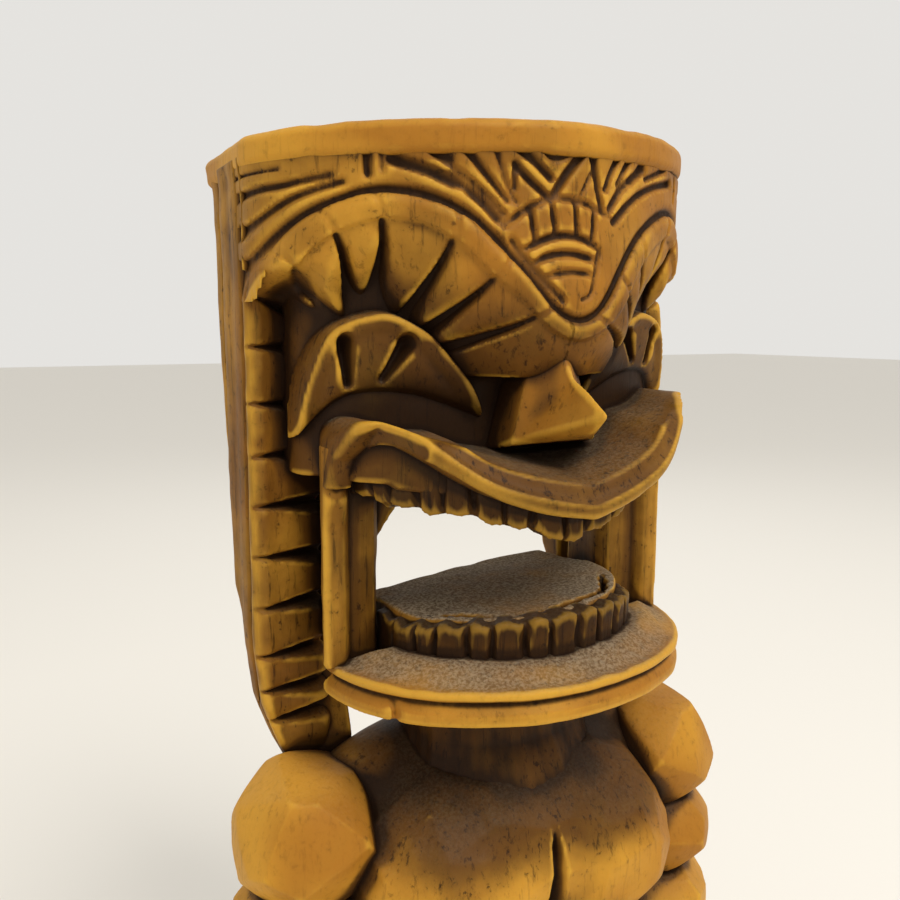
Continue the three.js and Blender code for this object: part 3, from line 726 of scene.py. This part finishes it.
def belly(x, y, z):
    f = faceted(x, y, z, (0, -3.6, 47.6), (20.2, 15.0, 11.8), 31, keep=0.55)
    navel = F(1.3) * np.exp(-(x * x + (z - 45.5) ** 2) / F(2.2)) * (y < 0)
    fold = vee(z, 54.6, 1.3, 1.1)
    spine = vee(x, 0, 1.4, F(1.1)) * (y > 0)
    return np.maximum(f + navel + fold + spine, between(z, 36.0, 60.0)) + hand_cut(x, y, z)


def shoulder(x, y, z, side):
    u = side * x
    f = faceted(u, y, z, (25.8, 0.2, 69.2), (8.8, 9.8, 8.6), 41, count=26, keep=0.62)
    return np.maximum(f, 60.0 - z) + hand_cut(x, y, z) * F(0.6)


def upper_arm(x, y, z, side):
    u = side * x
    f = faceted(u, y, z, (26.2, -0.4, 58.0), (8.8, 9.4, 6.6), 42, count=26, keep=0.66)
    return f + hand_cut(x, y, z) * F(0.7)


def forearm(x, y, z, side):
    u = side * x
    f = faceted(u, y, z, (25.8, -1.2, 46.6), (8.5, 9.2, 7.6), 43, count=30, keep=0.8)
    cuff = vee(z, 41.0, 0.8, 0.6)
    return f + cuff + hand_cut(x, y, z) * F(0.7)


# The grooves between the fingers, in Y
FINGERS = [-11.2, -8.2, -5.2, -2.4]


def hand(x, y, z, side):
    u = side * x
    f = ellipsoid(u, y, z, (24.6, -5.6, 33.6), (5.8, 8.6, 8.6))
    f = smax(f, 26.2 - z, 1.5)
    cut = sum(vee(y + F(0.06) * (z - 32), at, 0.65, 1.0) for at in FINGERS)
    return f + cut * step(37, 33.5, z) + hand_cut(x, y, z) * F(0.7)


def loincloth(x, y, z):
    u = np.abs(x)
    f = faceted(x, y, z, (0, -2.6, 37.6), (21.2, 15.2, 10.4), 51, keep=0.5)
    plan = np.maximum(u - 5.6 + F(0.12) * (z - 20), np.maximum(y + 4, -18.3 - y))
    flap = rounded(plan, between(z, 19.5, 38), 0.9)
    pleats = sum(vee(x, at, 0.45, 0.6) for at in (-3.6, -1.2, 1.2, 3.6)) * (y < -8) * step(38, 35, z)
    f = np.maximum(f, between(z, 29.5, 41.4))
    belt = vee(z, 38.4, 0.5, 0.7) + vee(z, 41.6, 0.8, 0.7)
    return np.minimum(f + belt, flap + pleats) + hand_cut(x, y, z) * F(0.7)


def thigh(x, y, z, side):
    u = side * x
    f = faceted(u, y, z, (12.0, -4.6, 30.4), (10.0, 13.0, 8.6), 61, count=34, keep=0.75)
    return np.maximum(f, 1.2 - u) + hand_cut(x, y, z) * F(0.8)


def calf(x, y, z, side):
    u = side * x
    f = faceted(u, y, z, (12.4, -1.2, 19.8), (9.2, 10.6, 7.6), 62, count=34, keep=0.75)
    return np.maximum(f, 2.0 - u) + hand_cut(x, y, z) * F(0.8)


# The grooves between the toes, with X outwards
TOES = [5.6, 9.2, 12.8, 16.4]


def foot(x, y, z, side):
    u = side * x
    plan = np.maximum(np.abs(u - 12.2) - 9.4, np.abs(y + 5.2) - 13.6)
    top = table(y, [-19, -16, -8, 4, 9], [11.6, 13.0, 14.4, 16.5, 15.5])
    f = rounded(plan, np.maximum(z - top, 7.5 - z), 2.2)
    cut = sum(vee(u, at, 0.6, 1.2) for at in TOES) * step(-8, -13, y)
    return f + cut + hand_cut(x, y, z) * F(0.7)


BASE_WIDE, BASE_DEEP = 28.2, 23.6


def base(x, y, z):
    g = np.sqrt((x / BASE_WIDE) ** 2 + (y / BASE_DEEP) ** 2) + F(1e-4)
    plan = (g - 1) * 24.5
    f = rounded(plan, np.maximum(z - 9.2, -z), 0.9)
    ring = vee(z, 5.0, 0.55, 0.6)
    s = np.arctan2(x / BASE_WIDE, y / BASE_DEEP)
    chips = F(0.35) * np.abs(np.sin(s * 14 + np.sin(z * F(0.4)) * F(0.4)))
    return f + (ring + chips) * step(0.8, 1.6, z) + hand_cut(x, y, z) * F(0.6) * step(0.3, 1.5, z)


# name, material slot, field, lowest and highest corner
SINGLE = [
    ("crown_rim", "polished", crown_rim, (-33, -18, 145), (33, 26, 153)),
    ("forehead_panel", "polished", forehead_panel, (-33, -19, 126), (33, 9, 150)),
    ("cranium", "stained", cranium, (-31, -18, 102), (31, 26, 150)),
    ("nose", "polished", nose, (-9, -25, 114), (9, -3, 131)),
    ("upper_lip", "polished", upper_lip, (-26, -25, 105), (26, 3, 127)),
    ("upper_teeth", "stained", upper_teeth, (-22, -21, 103), (22, 5, 121)),
    ("lower_teeth", "stained", lower_teeth, (-19, -19, 89), (19, 2, 99)),
    ("tongue", "dusty", tongue, (-20, -17, 85), (20, 16, 100)),
    ("lower_lip_top_ledge", "polished", lower_lip_top_ledge, (-26, -24, 88), (26, 12, 93)),
    ("lower_lip_bottom_ledge", "polished", lower_lip_bottom_ledge, (-26, -24, 85), (26, 12, 91)),
    ("neck", "stained", neck, (-19, -16, 69), (19, 12, 89)),
    ("chest", "polished", chest, (-28, -20, 50), (28, 14, 83)),
    ("belly", "polished", belly, (-23, -21, 35), (23, 14, 61)),
    ("loincloth", "stained", loincloth, (-24, -21, 18), (24, 15, 43)),
    ("base", "stained", base, (-31, -26, -1.5), (31, 26, 11)),
]
# The same for the pieces of the figure's left side, which the right side repeats
PAIRED = [
    ("mane", "polished", mane, (-2, -20, 70), (33, 9, 150)),
    ("eye", "polished", eye, (3, -14, 113), (29, 5, 135)),
    ("lip_post", "polished", lip_post, (10, -6, 88), (26, 9, 120)),
    ("hair_fall", "stained", hair_fall, (15, 3, 70), (33, 26, 150)),
    ("shoulder", "polished", shoulder, (14, -12, 58), (36.5, 12, 80)),
    ("upper_arm", "polished", upper_arm, (15, -12, 48), (36.5, 11, 66)),
    ("forearm", "polished", forearm, (15, -12, 37), (36.5, 10, 56)),
    ("hand", "polished", hand, (17, -16, 24), (32, 5, 44)),
    ("thigh", "polished", thigh, (0, -20, 20), (24, 10, 41)),
    ("calf", "polished", calf, (1, -14, 11), (23, 11, 29)),
    ("foot", "polished", foot, (1, -21, 6), (24, 11, 18)),
]


# ---- meshing ----

OUTSIDE = 0.2  # the least value on the outermost layer of a box, so that each surface is closed

def sampled(field, low, high):
    """The field over a box of the lattice: exact near the surface, and only its sign elsewhere."""
    wide = VOXEL * BLOCK
    first = np.floor((np.array(low) - ORIGIN) / wide).astype(int)
    last = np.ceil((np.array(high) - ORIGIN) / wide).astype(int)
    count = last - first
    grid = np.meshgrid(*[np.arange(n) for n in count], indexing="ij")
    at = [(ORIGIN[a] + (first[a] + grid[a].ravel()) * wide).astype(F) for a in range(3)]
    mid = F(wide * (BLOCK - 1) / BLOCK / 2)
    rough = field(*(a + mid for a in at)).astype(F)
    values = np.repeat(rough[:, None], BLOCK**3, 1)
    near = np.abs(rough) < 2.4 * wide + 0.6
    steps = np.meshgrid(*[np.arange(BLOCK) * VOXEL] * 3, indexing="ij")
    points = [(a[near][:, None] + s.ravel()[None, :].astype(F)).ravel() for a, s in zip(at, steps)]
    values[near] = field(*points).astype(F).reshape(-1, BLOCK**3)
    dense = values.reshape(*count, BLOCK, BLOCK, BLOCK).transpose(0, 3, 1, 4, 2, 5).reshape(*(count * BLOCK))
    for axis in range(3):
        ends = [slice(None)] * 3
        for ends[axis] in (0, -1):
            dense[tuple(ends)] = np.maximum(dense[tuple(ends)], F(OUTSIDE))
    return np.ascontiguousarray(dense), first * BLOCK


def surface(dense, first):
    """Points and four-sided faces where the field changes sign, one point in each crossed cell."""
    inside = dense < 0
    shape = np.array(dense.shape)
    stride = np.array([shape[1] * shape[2], shape[2], 1])
    cells, points, quads = [], [], []
    for axis in range(3):
        b, c = (axis + 1) % 3, (axis + 2) % 3
        lower = [slice(None)] * 3
        upper = [slice(None)] * 3
        lower[axis], upper[axis] = slice(0, -1), slice(1, None)
        i = np.argwhere(inside[tuple(lower)] != inside[tuple(upper)])
        at = i @ stride
        flat = dense.ravel()
        f0, f1 = flat[at], flat[at + stride[axis]]
        p = i.astype(np.float64)
        p[:, axis] += f0 / (f0 - f1)
        ring = np.stack([at - stride[b] - stride[c], at - stride[c], at, at - stride[b]], 1)
        cells.append(ring.ravel())
        points.append(np.repeat(p, 4, 0))
        quads.append(np.where((f0 < 0)[:, None], ring, ring[:, ::-1]))
    cells, points, quads = np.concatenate(cells), np.concatenate(points), np.concatenate(quads)
    used, index = np.unique(cells, return_inverse=True)
    count = np.bincount(index)
    verts = np.stack([np.bincount(index, points[:, a]) / count for a in range(3)], 1)
    faces = np.searchsorted(used, quads)
    return ORIGIN + (verts + first) * VOXEL, faces


def blurred(grid, sigma):
    """A 3-D Gaussian blur, with sigma in lattice steps."""
    reach = int(math.ceil(sigma * 2.4))
    weights = np.exp(-0.5 * (np.arange(-reach, reach + 1) / sigma) ** 2)
    weights = (weights / weights.sum()).astype(F)
    for axis in range(3):
        pad = [(reach, reach) if a == axis else (0, 0) for a in range(3)]
        wide = np.pad(grid, pad)
        out = np.zeros_like(grid)
        for k, w in enumerate(weights):
            cut = [slice(None)] * 3
            cut[axis] = slice(k, k + grid.shape[axis])
            out += w * wide[tuple(cut)]
        grid = out
    return grid


def halved(grid):
    """The grid at half as many points each way."""
    n = [s // 2 * 2 for s in grid.shape]
    g = grid[: n[0], : n[1], : n[2]]
    return g.reshape(n[0] // 2, 2, n[1] // 2, 2, n[2] // 2, 2).mean((1, 3, 5))


class Volume:
    """How much of the space round a point is resin."""

    def __init__(self, grid, cell, shift):
        self.grid, self.cell, self.shift = grid, cell, shift

    def __call__(self, p):
        s = (p - ORIGIN - self.shift) / self.cell
        s = np.clip(s, 0, np.array(self.grid.shape) - 1.001)
        i = s.astype(int)
        t = s - i
        total = 0
        for dx in (0, 1):
            for dy in (0, 1):
                for dz in (0, 1):
                    w = np.abs(1 - dx - t[:, 0]) * np.abs(1 - dy - t[:, 1]) * np.abs(1 - dz - t[:, 2])
                    total = total + w * self.grid[i[:, 0] + dx, i[:, 1] + dy, i[:, 2] + dz]
        return total


SHAPE = (np.ceil((FAR - ORIGIN) / (VOXEL * BLOCK)).astype(int) + 1) * BLOCK
filled = np.zeros(SHAPE, F)
made = []


def sculpt(name, slot, field, low, high):
    """Mesh one form, and mark the space that it fills."""
    dense, first = sampled(field, low, high)
    part = np.clip(0.5 - dense / VOXEL, 0, 1)
    where = tuple(slice(a, a + n) for a, n in zip(first, dense.shape))
    np.maximum(filled[where], part, out=filled[where])
    verts, faces = surface(dense, first)
    made.append((name, slot, verts, faces))


for name, slot, field, low, high in SINGLE:
    sculpt(name, slot, field, low, high)
for name, slot, field, low, high in PAIRED:
    for word, side in (("right", -1), ("left", 1)):
        x = sorted((side * low[0], side * high[0]))
        box = ((x[0], *low[1:]), (x[1], *high[1:]))
        sculpt(f"{name}_{word}", slot, lambda a, b, c, f=field, s=side: f(a, b, c, F(s)), *box)

# Each measure of the resin round a point: how far it looks in millimetres, and how often the grid is halved
LOOKS = {"resin_small": (0.6, 0), "resin_middle": (1.5, 1), "resin_wide": (4.5, 2), "resin_broad": (9.0, 2)}
GRIDS = [filled]
for _ in range(2):
    GRIDS.append(halved(GRIDS[-1]))
AROUND = {}
for key, (reach, halvings) in LOOKS.items():
    cell = VOXEL * 2**halvings
    AROUND[key] = Volume(blurred(GRIDS[halvings], reach / cell), cell, (cell - VOXEL) / 2)

# ---- materials ----


def linear(r, g, b):
    """A display colour from 0 to 255 as the linear colour that a shader takes."""
    channels = [c / 255 for c in (r, g, b)]
    return tuple(c / 12.92 if c <= 0.04 else ((c + 0.055) / 1.055) ** 2.4 for c in channels) + (1,)


class Nodes:
    """Short ways to add shader nodes to one material."""

    def __init__(self, name):
        self.material = bpy.data.materials.new(name)
        self.material.use_nodes = True
        self.tree = self.material.node_tree
        self.tree.nodes.clear()

    def add(self, kind, **settings):
        node = self.tree.nodes.new(kind)
        for key, value in settings.items():
            setattr(node, key, value)
        return node

    def put(self, socket, value):
        if isinstance(value, bpy.types.NodeSocket):
            self.tree.links.new(value, socket)
        else:
            socket.default_value = value

    def attribute(self, name):
        return self.add("ShaderNodeAttribute", attribute_name=name).outputs["Fac"]

    def math(self, operation, a, b=0.0, clamp=False):
        node = self.add("ShaderNodeMath", operation=operation, use_clamp=clamp)
        self.put(node.inputs[0], a)
        self.put(node.inputs[1], b)
        return node.outputs[0]

    def ramp(self, value, a, b, low=0.0, high=1.0):
        node = self.add("ShaderNodeMapRange", interpolation_type="SMOOTHSTEP")
        for i, v in enumerate((value, a, b, low, high)):
            self.put(node.inputs[i], v)
        return node.outputs[0]

    def mix(self, amount, a, b):
        node = self.add("ShaderNodeMix", data_type="RGBA")
        self.put(node.inputs[0], amount)
        self.put(node.inputs[6], a)
        self.put(node.inputs[7], b)
        return node.outputs[2]

    def noise(self, place, scale, detail=3.0, rough=0.55):
        node = self.add("ShaderNodeTexNoise")
        self.put(node.inputs["Vector"], place)
        node.inputs["Scale"].default_value = scale
        node.inputs["Detail"].default_value = detail
        node.inputs["Roughness"].default_value = rough
        return node.outputs[0]

    def stretched(self, place, scale):
        node = self.add("ShaderNodeMapping")
        self.put(node.inputs["Vector"], place)
        node.inputs["Scale"].default_value = scale
        return node.outputs[0]


# The light amber of rubbed edges, also used as a painted highlight.
WORN_EDGE_AND_HIGHLIGHT = linear(206, 156, 54)
AMBER = linear(198, 144, 48)
DEEP_AMBER = linear(162, 108, 33)
BROWN = linear(84, 52, 16)
DARK = linear(32, 17, 6)
DUST = linear(122, 104, 82)
PALE = linear(150, 134, 110)

# How much stain and painted shade each form holds, beyond the little that is in all: the teeth in the mouth,
# the eye in its socket and the neck under the head are darkened for painted shade as well as for stain
STAIN_AND_SHADE_BY_FORM = {"upper_teeth": 1.1, "lower_teeth": 1.3, "upper_lip": 0.95, "eye": 0.9, "cranium": 0.8, "neck": 0.75}
STAIN_AND_SHADE_BY_FORM |= {"lip_post": 0.55, "hair_fall": 0.45, "forehead_panel": 0.42, "nose": 0.4, "mane": 0.38}
STAIN_AND_SHADE_BY_FORM |= {"lower_lip_top_ledge": 0.4, "lower_lip_bottom_ledge": 0.2, "tongue": 0.1}
STAIN_AND_SHADE_BY_FORM |= {"loincloth": 0.35, "chest": 0.15, "belly": 0.1}
# How much dust lies on what faces up, and on every other form
DUSTY = {"tongue": 1.0, "lower_lip_top_ledge": 0.8, "base": 0.4}
DUSTY |= {"upper_lip": 0.3, "cranium": 0.3, "eye": 0.25}
LEAST_DUST = 0.12


def kind_of(name):
    """The name of a form without its side."""
    return name.removesuffix("_right").removesuffix("_left")


def stain_and_shade(name, verts):
    """The stain and painted shade on a form: painted shade under the jaw and round the mouth, and darker on
    the column below the arch.
    """
    kind = kind_of(name)
    u, z = np.abs(verts[:, 0]), verts[:, 2]
    # Painted shade on the chest and shoulders under the jaw.
    shade_under_jaw = step(62.5, 73, z) * step(24, 13, u) * step(89, 87, z)
    # Darker on the mane's column below the arch.
    column = step(136, 130, z) * 0.35 * (kind == "mane")
    # Painted shade in and round the mouth.
    mouth = step(93, 97, z) * step(116, 110, z) * step(23, 21, u)
    return STAIN_AND_SHADE_BY_FORM.get(kind, 0.0) + 1.15 * shade_under_jaw * (kind in ("chest", "shoulder")) + 0.25 * mouth + column


def resin(name, stain, dust_amount, roughness):
    """Stained amber resin, with painted shade in its hollows and a painted highlight on its edges. stain is
    how much brown it holds, and dust_amount how much dust lies on it.
    """
    n = Nodes(name)
    place = n.add("ShaderNodeTexCoord").outputs["Object"]  # in metres, so a scale of 1000 is 1 mm
    small, middle, wide = n.attribute("resin_small"), n.attribute("resin_middle"), n.attribute("resin_wide")
    broad, dust = n.attribute("resin_broad"), n.attribute("dust")
    blotch = n.noise(place, 120, 4)
    fine = n.noise(place, 900, 4, 0.65)
    grit = n.noise(place, 2600, 3, 0.7)
    grain = n.noise(n.stretched(place, (1400, 1400, 110)), 1.0, 5, 0.7)
    slow = n.noise(place, 38, 2)

    colour = n.mix(n.ramp(slow, 0.4, 0.62), AMBER, DEEP_AMBER)
    uneven = n.math("MULTIPLY", n.math("SUBTRACT", blotch, 0.5), 1.1)
    # Browner and darker in hollows and where little of the sky is seen: the stain that lies in hollows, and
    # painted shade.
    shade = n.math("ADD", n.ramp(middle, 0.47, 0.62, 0, 0.75), uneven)
    shade = n.math("ADD", shade, n.ramp(wide, 0.47, 0.64, 0, 0.75))
    shade = n.math("ADD", shade, n.ramp(broad, 0.42, 0.62, 0, 0.6))
    # Each form's stain and painted shade.
    shade = n.math("ADD", shade, n.math("ADD", n.attribute("stain_and_shade"), stain))
    colour = n.mix(n.ramp(shade, 0.0, 1.05, 0, 0.95), colour, BROWN)
    deep = n.ramp(shade, 0.95, 1.9, 0, 0.9)
    colour = n.mix(deep, colour, DARK)
    streaks = n.math("MULTIPLY", n.ramp(grain, 0.53, 0.68), n.ramp(shade, 0.0, 0.9, 0.16, 0.8))
    colour = n.mix(streaks, colour, DARK)
    pits = n.math("MULTIPLY", n.ramp(fine, 0.6, 0.7), n.ramp(shade, -0.1, 0.7, 0.1, 0.75))
    colour = n.mix(pits, colour, DARK)
    # Lighter on sharp edges: the stain rubbed off them, and a painted highlight.
    edge = n.math("ADD", n.ramp(small, 0.45, 0.34), n.math("MULTIPLY", n.math("SUBTRACT", blotch, 0.55), 0.6))
    edge = n.math("MULTIPLY", edge, n.ramp(shade, 0.9, 1.9, 0.8, 0.2), clamp=True)
    colour = n.mix(edge, colour, WORN_EDGE_AND_HIGHLIGHT)
    lying = n.math("MULTIPLY", dust, n.ramp(blotch, 0.3, 0.6, 0.55, 1.0))
    lying = n.math("MULTIPLY", lying, dust_amount, clamp=True)
    powder = n.mix(n.ramp(grit, 0.45, 0.62), DUST, PALE)
    powder = n.mix(n.ramp(grit, 0.5, 0.38, 0, 0.45), powder, DARK)
    colour = n.mix(lying, colour, powder)
    # Darkest in tight creases: the stain packed into them, and painted shade.
    crease = n.math("ADD", n.ramp(small, 0.54, 0.66), n.math("MULTIPLY", n.math("SUBTRACT", fine, 0.5), 0.6))
    colour = n.mix(n.math("MULTIPLY", crease, 0.86, clamp=True), colour, DARK)

    height = n.math("ADD", n.math("MULTIPLY", grain, 0.5), n.math("MULTIPLY", fine, 0.35))
    height = n.math("ADD", height, n.math("MULTIPLY", blotch, 0.5))
    bump = n.add("ShaderNodeBump")
    bump.inputs["Strength"].default_value = 0.35
    bump.inputs["Distance"].default_value = 0.0003
    n.put(bump.inputs["Height"], height)

    shader = n.add("ShaderNodeBsdfPrincipled")
    n.put(shader.inputs["Base Color"], colour)
    rough = n.math("ADD", roughness, n.math("MULTIPLY", lying, 0.35))
    rough = n.math("ADD", rough, n.math("MULTIPLY", crease, 0.15), clamp=True)
    n.put(shader.inputs["Roughness"], rough)
    n.put(shader.inputs["Normal"], bump.outputs[0])
    shader.inputs["IOR"].default_value = 1.4
    shader.inputs["Subsurface Weight"].default_value = 0.12
    shader.inputs["Subsurface Radius"].default_value = (1.0, 0.45, 0.15)
    shader.inputs["Subsurface Scale"].default_value = 0.0012
    shader.inputs["Specular IOR Level"].default_value = 0.16
    out = n.add("ShaderNodeOutputMaterial")
    n.put(out.inputs["Surface"], shader.outputs[0])
    return n.material


MATERIALS = {
    "polished": resin("resin_polished", 0.0, 0.9, 0.5),
    "stained": resin("resin_stained", 0.12, 0.9, 0.52),
    "dusty": resin("resin_dusty", 0.15, 1.0, 0.66),
}

# ---- objects ----

scene = bpy.context.scene


def placed(name, data):
    """A new object in the scene."""
    thing = bpy.data.objects.new(name, data)
    scene.collection.objects.link(thing)
    return thing


for name, slot, verts, faces in made:
    mesh = bpy.data.meshes.new(name)
    mesh.vertices.add(len(verts))
    mesh.vertices.foreach_set("co", (verts * MM).astype(F).ravel())
    mesh.loops.add(faces.size)
    mesh.loops.foreach_set("vertex_index", faces.astype(np.int32).ravel())
    mesh.polygons.add(len(faces))
    mesh.polygons.foreach_set("loop_start", np.arange(0, faces.size, 4, dtype=np.int32))
    mesh.update(calc_edges=True)
    mesh.shade_smooth()
    normals = np.zeros(len(verts) * 3, F)
    mesh.vertex_normals.foreach_get("vector", normals)
    normals = normals.reshape(-1, 3)
    around = {key: volume(verts) for key, volume in AROUND.items()}
    up = step(0.45, 0.9, normals[:, 2])
    around["dust"] = up * DUSTY.get(kind_of(name), LEAST_DUST) * step(0.18, 0.3, around["resin_wide"])
    # Each form's stain and painted shade.
    around["stain_and_shade"] = stain_and_shade(name, verts)
    for key, value in around.items():
        mesh.attributes.new(key, "FLOAT", "POINT").data.foreach_set("value", value.astype(F))
    mesh.materials.append(MATERIALS[slot])
    piece = placed(f"carved_{name}", mesh)
    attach(piece, "root")
    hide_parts(name)

# ---- floor, light and camera ----

FLOOR_HALF = 3.0
corners = [(FLOOR_HALF * a, FLOOR_HALF * b, 0) for a, b in ((-1, -1), (1, -1), (1, 1), (-1, 1))]
floor_mesh = bpy.data.meshes.new("floor")
floor_mesh.from_pydata(corners, [], [(0, 1, 2, 3)])
floor = placed("floor", floor_mesh)
pale = bpy.data.materials.new("pale_floor")
pale.use_nodes = True
floor_shader = pale.node_tree.nodes["Principled BSDF"]
floor_shader.inputs["Base Color"].default_value = linear(232, 228, 220)
floor_shader.inputs["Roughness"].default_value = 0.8
floor_mesh.materials.append(pale)

world = bpy.data.worlds.new("studio")
scene.world = world
world.use_nodes = True
sky = world.node_tree.nodes["Background"]
sky.inputs["Color"].default_value = linear(240, 238, 234)
sky.inputs["Strength"].default_value = 0.9
scene.view_settings.view_transform = "Standard"


def lamp(name, place, aim, size, power, colour):
    """A square lamp that faces `aim`."""
    light = bpy.data.lights.new(name, "AREA")
    light.size, light.energy, light.color = size, power, colour
    thing = placed(name, light)
    thing.location = place
    thing.rotation_euler = (Vector(aim) - Vector(place)).to_track_quat("-Z", "Y").to_euler()


MIDDLE_OF_HEAD = (0, 0, 0.115)
WARM = (1.0, 0.97, 0.92)
COOL = (0.96, 0.98, 1.0)
lamp("key", (0.10, -0.42, 0.62), MIDDLE_OF_HEAD, 0.30, 2.9, WARM)
lamp("fill", (-0.60, -0.30, 0.25), MIDDLE_OF_HEAD, 0.5, 0.25, WARM)
lamp("back", (0.25, 0.45, 0.50), MIDDLE_OF_HEAD, 0.35, 0.5, COOL)

# The photo's camera, close to the figure's right and a little above its eyes: 53 degrees across the picture
camera_data = bpy.data.cameras.new("camera")
camera_data.sensor_width = 36.0
camera_data.lens = 36.08
camera_data.clip_start, camera_data.clip_end = 0.01, 20
camera = placed("camera", camera_data)
camera.location = (-0.056953, -0.098566, 0.129787)
AIM = Vector((0.452446, 0.881154, -0.137334))
camera.rotation_euler = AIM.to_track_quat("-Z", "Y").to_euler()
scene.camera = camera

bpy.context.view_layer.update()
